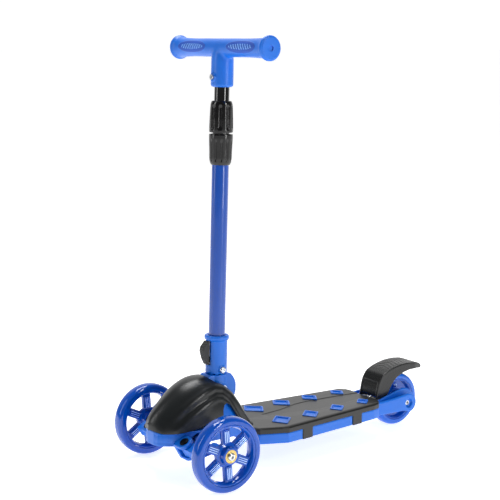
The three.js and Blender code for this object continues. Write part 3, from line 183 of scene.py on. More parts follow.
def make_finishes(colours):
    """Every finish on the scooter, by the record's slot."""
    return {
        # Injection-moulded polypropylene from a lightly spark-eroded tool: a soft sheen with a fine pebble.
        "body_plastic": finish("Moulded polypropylene, blue", colours.body_blue, 0.34, 0.04, 0.9, 0.008, IOR=1.49),
        "handlebar_plastic": finish("Moulded grip plastic, blue", colours.body_blue, 0.38, 0.05, 0.7, 0.01, IOR=1.49),
        # Fine diamond stipple, which scatters the light and so looks deeper.
        "grip_field": finish("Stippled grip plastic, blue", linear("#0B4CB4"), 0.55, 0.12, 1.4, 0.12, IOR=1.49),
        # The raised ribs are the same blue moulding, coloured paler: painted highlight on the ribs.
        "grip_rib": finish("Raised ribs with painted highlight, pale blue", linear("#6FA6EC"), 0.35, 0.06, 0.9, 0.03, IOR=1.49),
        # The bore of each end plug is coloured a deeper blue than the moulding: painted shade inside the hole.
        "bar_end_plastic": finish("Painted bore shade, deep blue", linear("#0A1CC0"), 0.35, 0.04, 0.7, 0.02, IOR=1.49),
        # Powder coat on drawn steel tube: glossy, with the slight waves of the melted powder.
        "stem_paint": finish(
            "Gloss powder coat, royal blue", colours.stem_blue, 0.22, 0.03, 5.0, 0.02,
            **{"Coat Weight": 0.35, "Coat Roughness": 0.05},
        ),
        "upper_tube_paint": finish(
            "Gloss enamel, black", linear("#020203"), 0.1, 0.03, 6.0, 0.01, **{"Coat Weight": 0.8, "Coat Roughness": 0.03}
        ),
        # Glass-filled nylon: near black with a broad highlight.
        "lock_plastic": finish("Moulded nylon, black", colours.lock_black, 0.16, 0.06, 0.8, 0.003, IOR=1.53),
        "button_plastic": finish("Moulded nylon, stippled black", linear("#0E1113"), 0.5, 0.08, 1.2, 0.12, IOR=1.53),
        # Polypropylene with an etched leather-fine texture: satin charcoal.
        "cowl_plastic": finish("Etched polypropylene, charcoal", colours.charcoal, 0.32, 0.05, 0.6, 0.006, IOR=1.49),
        "guard_plastic": finish("Etched polypropylene, grey", colours.guard_grey, 0.28, 0.05, 0.6, 0.008, IOR=1.49),
        # Moulded thermoplastic rubber: dull, warm grey, with a sandy grain for grip.
        "deck_pad_rubber": finish("Moulded rubber, warm grey", colours.pad_grey, 0.34, 0.05, 0.9, 0.015, IOR=1.5),
        # Cast polyurethane: glassy, and light spreads a few millimetres inside it.
        "wheel_tyre": finish(
            "Cast polyurethane, blue", colours.wheel_blue, 0.08, 0.05, 8.0, 0.01,
            **{"IOR": 1.5, "Subsurface Weight": 0.08, "Subsurface Scale": 3 * MM},
            **{"Coat Weight": 0.2, "Coat Roughness": 0.05},
        ),
        # The rear tyre is cast in a lighter, more opaque blue.
        "rear_tyre": finish(
            "Cast polyurethane, mid blue", colours.rear_blue, 0.24, 0.05, 6.0, 0.01,
            **{"IOR": 1.5, "Coat Weight": 0.3, "Coat Roughness": 0.08},
        ),
        # Bright metal with a blue cast on the raised ribs of the spokes: painted reflection of the lamps on the glossy
        # ribs.
        "spoke_rib_reflection": finish("Painted rib reflection, pale blue metal", linear("#9DB7E6"), 0.16, 0.1, 1.2, 0.05, Metallic=1.0),
        "wheel_core": finish(
            "Moulded clear nylon, blue", colours.core_blue, 0.1, 0.05, 6.0, 0.02,
            **{"IOR": 1.53, "Subsurface Weight": 0.06, "Subsurface Scale": 2 * MM},
            **{"Coat Weight": 0.2, "Coat Roughness": 0.04},
        ),
        # Yellow-passivated bearing races and shields.
        "bearing_steel": finish("Yellow zinc plate", linear("#D9BE7A"), 0.24, 0.12, 2.0, 0.02, Metallic=1.0),
        "steel": finish("Bright zinc plate", linear("#D2D5D8"), 0.25, 0.08, 1.5, 0.02, Metallic=1.0),
        # Near-black steel for the kingpins.
        "dark_steel": finish("Dark steel", linear("#1A1C20"), 0.4, 0.1, 1.0, 0.02, Metallic=1.0),
        "spring_steel": finish("Drawn spring wire", linear("#A9ACB0"), 0.3, 0.08, 1.0, 0.02, Metallic=1.0),
    }


FINISHES = {}


# ------------------------------------------------------------------ mesh tools
def evaluated(holder):
    """The mesh that an object comes to with its modifiers, and the object is thrown away."""
    bpy.context.scene.collection.objects.link(holder)
    graph = bpy.context.evaluated_depsgraph_get()
    mesh = bpy.data.meshes.new_from_object(holder.evaluated_get(graph))
    data = holder.data
    bpy.data.objects.remove(holder)
    (bpy.data.curves if isinstance(data, bpy.types.Curve) else bpy.data.meshes).remove(data)
    return mesh


def modified(mesh, *steps):
    """A mesh after some modifiers, each given as (type, settings)."""
    holder = bpy.data.objects.new("working", mesh)
    for kind, settings in steps:
        modifier = holder.modifiers.new(kind, kind)
        for key, value in settings.items():
            setattr(modifier, key, value)
    return evaluated(holder)


def from_bmesh(made, weld=1e-4):
    bmesh.ops.remove_doubles(made, verts=made.verts, dist=weld)
    bmesh.ops.recalc_face_normals(made, faces=made.faces)
    mesh = bpy.data.meshes.new("made")
    made.to_mesh(mesh)
    made.free()
    return mesh


def joined(*parts):
    """One mesh of several, each a mesh or a (mesh, matrix)."""
    made = bmesh.new()
    for part in parts:
        mesh, matrix = part if isinstance(part, tuple) else (part, None)
        copy = mesh.copy()
        if matrix is not None:
            copy.transform(matrix)
        made.from_mesh(copy)
        bpy.data.meshes.remove(copy)
    mesh = bpy.data.meshes.new("joined")
    made.to_mesh(mesh)
    made.free()
    return mesh


def eased(points, radius, closed=False, steps=4):
    """An outline with each corner turned into a small arc."""
    count = len(points)
    out = []
    for i, point in enumerate(points):
        if not closed and i in (0, count - 1):
            out.append(tuple(point))
            continue
        corner = Vector(point)
        before = Vector(points[i - 1]) - corner
        after = Vector(points[(i + 1) % count]) - corner
        reach = min(radius, 0.48 * before.length, 0.48 * after.length)
        a, b = corner + before.normalized() * reach, corner + after.normalized() * reach
        for k in range(steps + 1):
            t = k / steps
            out.append(tuple(a * (1 - t) ** 2 + corner * 2 * t * (1 - t) + b * t**2))
    return out


def lathe(profile, segments=96, warp=None):
    """A surface of revolution about Z through [radius, height] points. warp(radius, height, angle) may
    change a point's radius."""
    made = bmesh.new()
    rings = []
    for radius, height in profile:
        if radius < 1e-6:
            rings.append([made.verts.new((0, 0, height))])
            continue
        ring = []
        for i in range(segments):
            angle = 2 * math.pi * i / segments
            r = warp(radius, height, angle) if warp else radius
            ring.append(made.verts.new((r * math.cos(angle), r * math.sin(angle), height)))
        rings.append(ring)
    for low, high in zip(rings, rings[1:]):
        for i in range(segments):
            corners = [low[i % len(low)], low[(i + 1) % len(low)], high[(i + 1) % len(high)], high[i % len(high)]]
            corners = list(dict.fromkeys(corners))
            if len(corners) > 2:
                made.faces.new(corners)
    return from_bmesh(made)


def plate(outlines, low, high, bevel, resolution=2):
    """A flat plate between two heights: its first outline is its edge and the others are holes."""
    curve = bpy.data.curves.new("outline", "CURVE")
    curve.dimensions = "2D"
    curve.fill_mode = "BOTH"
    curve.extrude = (high - low) / 2 - bevel
    curve.bevel_depth = bevel
    curve.bevel_resolution = resolution
    curve.offset = -bevel
    for index, outline in enumerate(outlines):
        area = sum(a[0] * b[1] - b[0] * a[1] for a, b in zip(outline, outline[1:] + outline[:1]))
        if (area > 0) == bool(index):
            outline = outline[::-1]
        spline = curve.splines.new("POLY")
        spline.points.add(len(outline) - 1)
        for point, (u, v) in zip(spline.points, outline):
            point.co = (u, v, 0, 1)
        spline.use_cyclic_u = True
    mesh = evaluated(bpy.data.objects.new("outline", curve))
    mesh.transform(Matrix.Translation((0, 0, (low + high) / 2)))
    return mesh


def remeshed(mesh, voxel, passes):
    """A mesh in metres made even, with its edges rounded, as a moulding tool leaves them."""
    return modified(
        mesh,
        ("REMESH", {"mode": "VOXEL", "voxel_size": voxel * MM}),
        ("SMOOTH", {"factor": 0.5, "iterations": passes}),
    )


def moulded(parts, voxel, passes):
    """Several meshes in millimetres as one even mesh with rounded edges."""
    mesh = joined(*parts)
    mesh.transform(Matrix.Scale(MM, 4))
    mesh = remeshed(mesh, voxel, passes)
    mesh.transform(Matrix.Scale(1 / MM, 4))
    return mesh


def softened(cad_node, voxel, passes, into=TO_SCOOTER):
    """A CAD node's form as an even mesh with rounded edges, in millimetres."""
    made = bmesh.new()
    made.from_mesh(CAD[cad_node].data)
    bmesh.ops.remove_doubles(made, verts=made.verts, dist=1e-6)
    mesh = bpy.data.meshes.new("soft")
    made.to_mesh(mesh)
    made.free()
    mesh = remeshed(mesh, voxel, passes)
    mesh.transform(into)
    return mesh


def shifted(mesh, shift):
    """A mesh with each vertex moved by shift(place, normal), which gives a vector or None."""
    normals = [v.normal.copy() for v in mesh.vertices]
    for vertex, normal in zip(mesh.vertices, normals):
        move = shift(vertex.co, normal)
        if move is not None:
            vertex.co = vertex.co + move
    mesh.update()
    return mesh


def smoothstep(low, high, value):
    t = min(1.0, max(0.0, (value - low) / (high - low)))
    return t * t * (3 - 2 * t)


def place(name, mesh, where, body, slot, covers, crease=38, look=None, extra=None):
    """Puts a finished mesh into the scooter as a piece on a body, in place of its CAD nodes. It has its
    slot's finish, unless look names another, and extra adds a second one."""
    mesh.transform(where)
    if where.determinant() < 0:
        mesh.flip_normals()
    mesh.name = name
    mesh.materials.clear()
    mesh.materials.append(FINISHES[look or slot])
    if extra:
        mesh.materials.append(FINISHES[extra])
    for polygon in mesh.polygons:
        polygon.use_smooth = True
    mesh.set_sharp_from_angle(angle=math.radians(crease))
    piece = bpy.data.objects.new(name, mesh)
    bpy.context.scene.collection.objects.link(piece)
    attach(piece, body)
    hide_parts(*covers)
    return piece


def mirror(matrix, sign):
    """A placing matrix for the left side, or mirrored for the right."""
    return matrix if sign > 0 else matrix @ Matrix.Scale(-1, 4, (1, 0, 0))


# ------------------------------------------------------------------ handlebar
def grip_profile():
    half = [
        (BAR_HALF - 0.9, 11.9), (BAR_HALF - 0.9, 18.6), (129.6, 20.1), (126.2, 20.2), (124.0, 18.4), (119.5, 17.0),
        (112.0, 16.0), (98.0, 15.4), (78.0, 14.9), (55.0, 14.9), (32.0, 15.2), (12.0, 15.2),
    ]
    right = [(r, x) for x, r in half]
    return right + [(r, -x) for r, x in reversed(right)]


class SCOOTER_OT_handlebar(bpy.types.Operator):
    """Build the one-piece handlebar with its ribbed grips, and its two end plugs"""

    bl_idname = "scooter.handlebar"
    bl_label = "Handlebar"

    def execute(self, context):
        rib = context.scene.scooter_sizes.grip_rib / MM
        outside = list(reversed(eased(grip_profile(), 1.2)))
        end = BAR_HALF - 5
        bar = lathe([(0, -end), (11.9, -end), *outside, (11.9, end), (0, end)], 96)
        socket = lathe(
            eased([(0, 504), (16.0, 504), (18.5, 506.5), (18.5, 552), (15.6, 566), (0, 571)], 2.2), 96
        )
        boss = lathe(eased([(0, 10), (7.4, 10), (7.4, 19.8), (4.4, 19.8), (4.4, 17.2), (0, 17.2)], 0.4), 32)
        boss_at = Matrix.Translation((0, 0, 520)) @ Matrix.Rotation(math.radians(90), 4, "X")
        lying = Matrix.Translation((0, 0, BAR_HEIGHT)) @ ALONG_X
        fused = self.blend_saddle(moulded([(bar, lying), socket, (boss, boss_at)], 0.8, 3))
        shifted(fused, lambda at, normal: self.grip_detail(at, normal, rib))
        fields = [self.in_field(polygon.center) for polygon in fused.polygons]
        bar = place(
            "handlebar_moulding_blue", fused, STEM, "handlebar", "handlebar_plastic", ["handlebar_moulding"],
            extra="grip_field",
        )
        # The ribs take the paler blue, which is painted highlight.
        bar.data.materials.append(FINISHES["grip_rib"])
        for polygon, field in zip(bar.data.polygons, fields):
            polygon.material_index = field
        bar_at = STEM @ Matrix.Translation((0, 0, BAR_HEIGHT))
        for sign, side in ((1, "left"), (-1, "right")):
            plug = lathe(
                eased(
                    [(4.3, 131.7), (4.9, 132.1), (16.9, 132.1), (17.7, 131.4), (17.7, 130.0), (0, 130.0)], 0.3
                ),
                96,
            )
            hub = lathe([(0, 128.6), (4.3, 128.6), (4.3, 131.7)], 48)
            made = place(
                f"bar_end_plug_{side}_blue", joined(plug, hub), mirror(bar_at, sign) @ ALONG_X, "handlebar",
                "handlebar_plastic", [f"bar_end_plug_{side}"], extra="bar_end_plastic",
            )
            # Faces inside the bore take the deeper blue, which is painted shade in the hole.
            axis = bar_at.translation
            for polygon in made.data.polygons:
                offset = polygon.center - axis
                if math.hypot(offset.y, offset.z) < 4.4 * MM:
                    polygon.material_index = 1
        return {"FINISHED"}

    @staticmethod
    def blend_saddle(mesh):
        """Rounds the inside corners where the grips run into the socket."""
        holder = bpy.data.objects.new("working", mesh)
        group = holder.vertex_groups.new(name="saddle")
        for vertex in mesh.vertices:
            x, _, z = vertex.co
            side = smoothstep(50, 22, abs(x)) * smoothstep(526, 542, z)
            if side > 0.01:
                group.add([vertex.index], side, "REPLACE")
        smooth = holder.modifiers.new("saddle", "SMOOTH")
        smooth.factor = 0.5
        smooth.iterations = 150
        smooth.vertex_group = "saddle"
        return evaluated(holder)

    @staticmethod
    def on_oval(at):
        """Places on the oval of a grip, along and around it, from -1 to 1 at its edge, and the ribs' wave."""
        around = math.atan2(at.z - BAR_HEIGHT, -at.y)
        along, across = (abs(at.x) - 70) / 41, (around - 0.12) / 0.72
        wave = 0.5 + 0.5 * math.cos((abs(at.x) + 7 * across) * 2 * math.pi / 6.5)
        return along, across, wave

    def in_field(self, at):
        """0 outside the oval, 1 in its stippled field and 2 on its ribs."""
        along, across, wave = self.on_oval(at)
        if math.hypot(along, across) > 0.97:
            return 0
        return 2 if math.hypot(along / 0.8, across / 0.42) < 1 and wave > 0.62 else 1

    def grip_detail(self, at, normal, rib):
        """A raised oval on the front of each grip, with a row of slanted ribs in it."""
        along, across, wave = self.on_oval(at)
        if math.hypot(along, across) > 1.1:
            return None
        field = smoothstep(1.0, 0.93, math.hypot(along, across)) * 0.5
        inner = smoothstep(1.0, 0.85, math.hypot(along / 0.8, across / 0.42))
        return normal * (field + inner * rib * smoothstep(0.4, 0.75, wave))


# ------------------------------------------------------------------ tubes and height lock
def tube(inner, outer, low, high, easing):
    """A tube about Z with its upper edge eased on the outside."""
    wall = eased([(outer, low), (outer, high), (inner, high)], easing)
    return lathe([(inner, low), *wall, (inner, low)], 96)


class SCOOTER_OT_tubes(bpy.types.Operator):
    """Build the painted lower tube and the gloss black upper tube"""

    bl_idname = "scooter.tubes"
    bl_label = "Stem tubes"

    def execute(self, context):
        lower = tube(12.8, 14, 30, 423.3, 0.4)
        place("lower_tube_blue", lower, STEM, "stem", "stem_paint", ["lower_tube"])
        upper = tube(11.3, 12.5, 219, 558.8, 0.3)
        place("upper_tube_black", upper, STEM, "handlebar", "upper_tube_paint", ["upper_tube"])
        return {"FINISHED"}


def fluted(count, depth, low, high, width=0.5, fade=6.0):
    """A warp that presses finger grooves into the outside of a turned piece between two heights."""

    def warp(radius, height, angle):
        if radius < 16.5:
            return radius
        wave = 0.5 + 0.5 * math.cos(count * angle)
        groove = smoothstep(1 - width, 1 - width + 0.38, wave)
        ends = smoothstep(low, low + fade, height) * smoothstep(high, high - fade, height)
        return radius - depth * groove * ends

    return warp


def dense(profile, pitch):
    """A profile with points added so that none are further apart than the pitch."""
    out = [profile[0]]
    for a, b in zip(profile, profile[1:]):
        steps = max(1, math.ceil(math.hypot(b[0] - a[0], b[1] - a[1]) / pitch))
        for k in range(1, steps + 1):
            out.append((a[0] + (b[0] - a[0]) * k / steps, a[1] + (b[1] - a[1]) * k / steps))
    return out


class SCOOTER_OT_height_lock(bpy.types.Operator):
    """Build the fluted lock nut and the fluted collar under it"""

    bl_idname = "scooter.height_lock"
    bl_label = "Height lock"

    def execute(self, context):
        depth = context.scene.scooter_sizes.flute_depth / MM
        collar = eased(
            [
                (14.4, 377.2), (15.9, 377.2), (17.6, 381), (18.7, 388),
                (18.9, 402), (19.75, 420.5), (19.75, 427.8), (16.3, 427.8),
            ],
            1.2,
        )
        collar = lathe(dense(collar, 1.6), 160, fluted(12, depth, 381, 421, 0.42, 7))
        place("lower_collar_black", collar, STEM, "stem", "lock_plastic", ["lower_collar"])
        nut = eased(
            [
                (16.4, 430.2), (19.6, 430.2), (19.8, 434.5), (19.4, 452),
                (18.7, 468), (18.2, 477), (16.2, 481.9), (13.2, 481.9),
            ],
            1.8,
        )
        nut = lathe(dense(nut, 1.6), 160, fluted(9, depth * 1.15, 434, 477, 0.5, 6))
        place("lock_nut_black", nut, STEM, "lock_ring", "lock_plastic", ["lock_nut"])
        return {"FINISHED"}


# ------------------------------------------------------------------ fold socket, knuckle and button
def bolt_head(radius, height, hexagon):
    """A button head about Z, seated at height 0, with a hexagon socket."""

    def six_sided(r, z, angle):
        if abs(r - hexagon) > 1e-3:
            return r
        return hexagon * math.cos(math.pi / 6) / math.cos((angle % (math.pi / 3)) - math.pi / 6)

    crown = [
        (radius, 0), (radius, height * 0.35), (radius * 0.88, height * 0.78), (radius * 0.62, height),
        (hexagon * 1.16, height),
    ]
    recess = [(hexagon, height * 0.9), (hexagon, height * 0.25), (0, height * 0.25)]
    return lathe([*eased(crown, 0.5), *recess], 48, six_sided)


class SCOOTER_OT_fold_joint(bpy.types.Operator):
    """Build the fold socket, its cross bolt, the folding knuckle and the release button"""

    bl_idname = "scooter.fold_joint"
    bl_label = "Fold joint"

    def execute(self, context):
        socket = softened("fold_socket", 0.7, 4, TO_STEM)
        shifted(socket, self.round_out)
        place("fold_socket_blue", socket, STEM, "stem", "body_plastic", ["fold_socket"])
        knuckle = softened("fold_knuckle", 0.9, 5, TO_STEM)
        place("fold_knuckle_blue", knuckle, STEM, "stem", "body_plastic", ["fold_knuckle"])
        button = softened("fold_button", 0.5, 5, TO_STEM)
        shifted(button, self.button_ribs)
        place("fold_button_black", button, STEM, "fold_button_body", "button_plastic", ["fold_button"])
        head = bolt_head(5.6, 3.2, 2.4)
        shank = lathe([(0, -40), (3, -40), (3, 0.2), (0, 0.2)], 32)
        across = Matrix.Translation((19.6, 0, 34.6)) @ ALONG_X
        place("socket_bolt_zinc", joined(head, shank), STEM @ across, "stem", "steel", ["socket_bolt"])
        return {"FINISHED"}

    @staticmethod
    def round_out(at, normal):
        """Brings the outside wall to a true circle."""
        radius = math.hypot(at.x, at.y)
        if 17.3 < radius < 18.5 and 32 < at.z < 81 and abs(math.hypot(at.y, at.z - 34.6)) > 9:
            if at.y < -10 and abs(at.x) < 9:
                return None
            return Vector((at.x, at.y, 0)) * ((18.3 - radius) / radius)
        return None

    @staticmethod
    def button_ribs(at, normal):
        """Shallow ribs across the thumb face."""
        if at.y > -21 or abs(at.x) > 5.4:
            return None
        return normal * (0.35 * math.cos(at.z * 2 * math.pi / 3.4) * smoothstep(5.4, 4.2, abs(at.x)))


# ------------------------------------------------------------------ front cowl
COWL_SQUARENESS = 2.3
# Half-width, place along Y and crown height at stations from the nose to the tail.
COWL_STATIONS = [
    (3, -71, 95), (20, -66, 106), (31, -56, 118), (42, -38, 134.5), (49, -15, 151), (52, 12, 161),
    (51.5, 38, 161), (49.5, 60, 152), (45.5, 82, 133), (41, 100, 106), (36, 115, 80), (32, 126, 61),
]
# The lower edge, with the arch over the fin, as (Y, Z).
COWL_RIM = [
    (-72, 86.5), (-60, 82.5), (-44, 82.5), (-28, 84), (-12, 86.5), (4, 91), (16, 96), (30, 100), (44, 101.5),
    (44.9, 111), (48.5, 118), (54.5, 120), (60, 116.5), (74.5, 95), (92, 66), (97, 61), (127, 61),
]
# The middle of the hollow between the two crests, as (Y, Z).
COWL_GROOVE = [(-44, 96), (-22, 113), (0, 125.5), (22, 135), (38, 138.5), (52, 135.5), (66, 124), (82, 98), (98, 70)]
# The opening for the stem: its half-width, and its ends along Y.
SLOT_HALF = 24.5
SLOT_FRONT = 34.2
SLOT_REAR = 101.5
# Places along Y where an edge of the cowl turns sharply, so its rows stand closer there.
SHARP_PLACES = (-71, SLOT_FRONT, 44.5, SLOT_REAR)


def along_stations(y):
    """Half-width and crown height at a place along the cowl, on a smooth curve through the stations."""
    for i in range(len(COWL_STATIONS) - 1):
        if y <= COWL_STATIONS[i + 1][1] or i == len(COWL_STATIONS) - 2:
            break
    p1, p2 = COWL_STATIONS[i], COWL_STATIONS[i + 1]
    p0 = COWL_STATIONS[max(i - 1, 0)]
    p3 = COWL_STATIONS[min(i + 2, len(COWL_STATIONS) - 1)]
    t = min(1, max(0, (y - p1[1]) / (p2[1] - p1[1])))
    out = []
    for k in (0, 2):
        span = p2[1] - p1[1]
        m1 = (p2[k] - p0[k]) / (p2[1] - p0[1]) * span if i else (p2[k] - p1[k]) * 1.6
        m2 = (p3[k] - p1[k]) / (p3[1] - p1[1]) * span
        out.append(
            (2 * t**3 - 3 * t**2 + 1) * p1[k] + (t**3 - 2 * t**2 + t) * m1
            + (3 * t**2 - 2 * t**3) * p2[k] + (t**3 - t**2) * m2
        )
    return out


def on_line(points, y):
    """The height of a broken line at a place along Y."""
    for (y0, z0), (y1, z1) in zip(points, points[1:]):
        if y <= y1:
            return z0 + (z1 - z0) * (y - y0) / (y1 - y0)
    return points[-1][1]


def from_line(points, y, z):
    """Signed distance of a point from a broken line, positive above it."""
    best, sign = math.inf, 1
    for (y0, z0), (y1, z1) in zip(points, points[1:]):
        dy, dz = y1 - y0, z1 - z0
        t = min(1, max(0, ((y - y0) * dy + (z - z0) * dz) / (dy * dy + dz * dz)))
        gap = math.hypot(y - y0 - t * dy, z - z0 - t * dz)
        if gap < best:
            best, sign = gap, 1 if (z - z0) * dy - (y - y0) * dz > 0 else -1
    return best * sign


class SCOOTER_OT_cowl(bpy.types.Operator):
    """Build the front cowl as one thin curved shell with its crests, its arch and its slot for the stem"""

    bl_idname = "scooter.cowl"
    bl_label = "Front cowl"

    def execute(self, context):
        crest = context.scene.scooter_sizes.crest / MM
        mesh = shifted(self.shell(), lambda at, normal: self.crests(at, normal, crest))
        mesh = modified(
            mesh,
            ("SOLIDIFY", {"thickness": 2.6, "offset": -1.0}),
            ("BEVEL", {"width": 0.5, "segments": 2, "limit_method": "ANGLE", "angle_limit": math.radians(55)}),
        )
        place("front_cowl_charcoal", mesh, SCOOTER, "deck", "cowl_plastic", ["front_cowl"], 45)
        return {"FINISHED"}

    @staticmethod
    def slot(y):
        """Half-width of the opening for the stem."""
        if y <= SLOT_FRONT or y >= SLOT_REAR:
            return 0.0
        if y < SLOT_FRONT + 15:
            return SLOT_HALF * math.sqrt(1 - ((SLOT_FRONT + 15 - y) / 15) ** 2)
        if y > SLOT_REAR - 5:
            return SLOT_HALF * math.sqrt(1 - ((y - SLOT_REAR + 5) / 5) ** 2)
        return SLOT_HALF

    def shell(self):
        made = bmesh.new()
        around = 44
        rows = [[(0, -71.4, 84 + 11 * i / around) for i in range(around + 1)]]
        y = -70.9
        while y < 126:
            half, crown = along_stations(y)
            half = max(half, 1.5)
            brim = 80 - 26 * min(1, max(0, (y - 60) / 66))
            rise = max(crown - brim, 2)
            power = 2 / (COWL_SQUARENESS - 0.55 * smoothstep(30, -60, y))
            share = min(1, max(0, (on_line(COWL_RIM, y) - brim) / rise))
            low = math.asin(min(1, share ** (1 / power)))
            slot = min(self.slot(y) / half, 1)
            high = math.acos(slot ** (1 / power))
            low = min(low, high - 0.02)
            row = []
            for i in range(around + 1):
                angle = low + (high - low) * i / around
                x = half * max(0, math.cos(angle)) ** power
                z = brim + rise * max(0, math.sin(angle)) ** power
                row.append((x, y, z))
            rows.append(row)
            edge = min(abs(y - sharp) for sharp in SHARP_PLACES)
            y += 0.25 if edge < 1.5 else (0.6 if edge < 6 else 1.4)
        for sign in (1, -1):
            grid = [[made.verts.new((sign * x, yy, z)) for x, yy, z in row] for row in rows]
            for a, b in zip(grid, grid[1:]):
                for i in range(around):
                    made.faces.new([a[i], a[i + 1], b[i + 1], b[i]])
        return from_bmesh(made, 1e-3)

    @staticmethod
    def crests(at, normal, crest):
        """A hollow that sweeps from the nose's side over the arch and down the tail, with a crest on each side of it,
        and every point moved 0.2 mm against its normal."""
        gap = from_line(COWL_GROOVE, at.y, at.z)
        strength = smoothstep(-52, -22, at.y) * smoothstep(14, 24, abs(at.x))
        hollow = -math.exp(-((gap / 4.2) ** 2))
        upper = 0.75 * math.exp(-(((gap - 8.5) / 4.5) ** 2))
        lower = 0.65 * math.exp(-(((gap + 8) / 4.5) ** 2))
        return normal * (crest * strength * (hollow + upper + lower) - 0.2)


# ------------------------------------------------------------------ front base and steering
class SCOOTER_OT_front_base(bpy.types.Operator):
    """Build the blue front base with its kingpin ears and fins, and the steering under it"""

    bl_idname = "scooter.front_base"
    bl_label = "Front base and steering"

    def execute(self, context):
        base = softened("front_base", 0.9, 6)
        shifted(base, self.slim_brim)
        place("front_base_blue", base, SCOOTER, "deck", "body_plastic", ["front_base"])
        for side in ("left", "right"):
            knuckle = softened(f"steering_knuckle_{side}", 0.7, 5)
            place(
                f"steering_knuckle_{side}_blue", knuckle, SCOOTER, f"steering_{side}", "body_plastic",
                [f"steering_knuckle_{side}"],
            )
            pin = softened(f"kingpin_{side}", 0.4, 2)
            place(f"kingpin_{side}_black", pin, SCOOTER, "deck", "steel", [f"kingpin_{side}"], look="dark_steel")
        return {"FINISHED"}

    @staticmethod
    def slim_brim(at, normal):
        """Undercuts the tray's wall a little so that the cowl stands over it, as it does on the nose."""
        if at.y > 0 or not 66 <= at.z <= 80.5 or abs(at.x) > 60:
            return None
        half, _ = along_stations(at.y)
        if abs(at.x) < half - 7:
            return None
        bulge = 1.4 * math.sin(math.pi * smoothstep(58, 84, at.z))
        return Vector((normal.x, normal.y, 0)) * (bulge - 1.2)


# ------------------------------------------------------------------ wheels
def tyre_profile(radius, half, seat):
    """A round-shouldered cast tyre, from its seat outwards and back."""
    depth = radius - seat
    right = []
    for k in range(15):
        angle = math.radians(90 * k / 14)
        right.append((seat + depth * 0.3 + depth * 0.7 * math.sin(angle) ** 0.75, half * math.cos(angle) ** 0.75))
    ring = [(seat, half - 1.2), (seat + 0.9, half - 0.1), *right]
    return ring + [(r, -x) for r, x in reversed(ring)] + [ring[0]]


def arc(radius, start, end, steps):
    angles = [start + (end - start) * k / steps for k in range(steps + 1)]
    return [(radius * math.cos(angle), radius * math.sin(angle)) for angle in angles]


def spoke_windows(count, phase, inner, outer, spoke):
    """The openings between straight-sided spokes, with rounded corners."""
    windows = []
    pitch = 2 * math.pi / count
    for i in range(count):
        middle = phase + (i + 0.5) * pitch
        low, high = math.asin(spoke / 2 / inner), math.asin(spoke / 2 / outer)
        outline = arc(outer, middle - pitch / 2 + high, middle + pitch / 2 - high, 14)
        outline += arc(inner, middle + pitch / 2 - low, middle - pitch / 2 + low, 6)
        windows.append(eased(outline, 3.0, closed=True, steps=3))
    return windows


def wheel_meshes(radius, half, seat, hub_half, spokes, phase, spoke, closed=False):
    """Tyre and core of a wheel about Z, with the outside at +Z."""
    tyre = lathe(tyre_profile(radius, half, seat), 144)
    lip = half - 1.0
    rim = lathe(
        eased(
            [(seat - 6.2, 0.5), (seat - 3.6, lip - 1.8), (seat - 2.2, lip), (seat - 0.3, lip), (seat - 0.3, -lip),
             (seat - 2.2, -lip), (seat - 3.6, -lip + 1.8), (seat - 6.2, -0.5), (seat - 6.2, 0.5)], 0.6),
        144,
    )
    windows = [] if closed else spoke_windows(spokes, phase, 18.5, seat - 5.2, spoke)
    web = plate([arc(seat - 2.5, 0, 2 * math.pi, 119)[:-1], *windows], -3.8, 3.8, 0.9)
    hub = lathe(
        eased(
            [(11.2, hub_half), (13.4, hub_half), (14.6, hub_half - 1.2), (15.4, 5), (21, 3.4), (21, -3.4), (15.4, -5),
             (14.6, -hub_half + 1.2), (13.4, -hub_half), (11.2, -hub_half), (11.2, hub_half)], 0.7),
        96,
    )
    parts, glint_ribs = [rim, web, hub], []
    # Each spoke carries a raised pad with three ribs along it, on both faces.
    long = seat - 27
    pad_half = spoke * 0.72 / 2
    for i in range(spokes):
        turn = Matrix.Rotation(phase + i * 2 * math.pi / spokes, 4, "Z")
        outline = [(19, -pad_half), (19 + long, -pad_half - 0.6), (19 + long, pad_half + 0.6), (19, pad_half)]
        pad = plate([eased(outline, 1.4, closed=True)], 3.2, 5.6, 0.7)
        for face in (1, -1):
            parts.append((pad, turn @ Matrix.Scale(face, 4, (0, 0, 1))))
        # The ribs are a piece of their own, which takes the bright metal of painted reflection.
        for row in (-1, 0, 1):
            middle = row * spoke * 0.22
            outline = [(21, middle - 0.9), (17 + long, middle - 1.1), (17 + long, middle + 1.1), (21, middle + 0.9)]
            rib = plate([eased(outline, 0.6, closed=True)], 5.0, 6.6, 0.6)
            for face in (1, -1):
                glint_ribs.append((rib, turn @ Matrix.Scale(face, 4, (0, 0, 1))))
    return tyre, joined(*parts), joined(*glint_ribs)


def bearing_mesh():
    """A shielded ball bearing about Z, with its outer face at height 0."""
    return lathe(
        eased(
            [(4.3, 0), (6.0, 0), (6.2, -0.5), (8.9, -0.5), (9.2, 0), (10.95, 0), (10.95, -6.8), (4.3, -6.8), (4.3, 0)],
            0.25,
        ),
        72,
    )


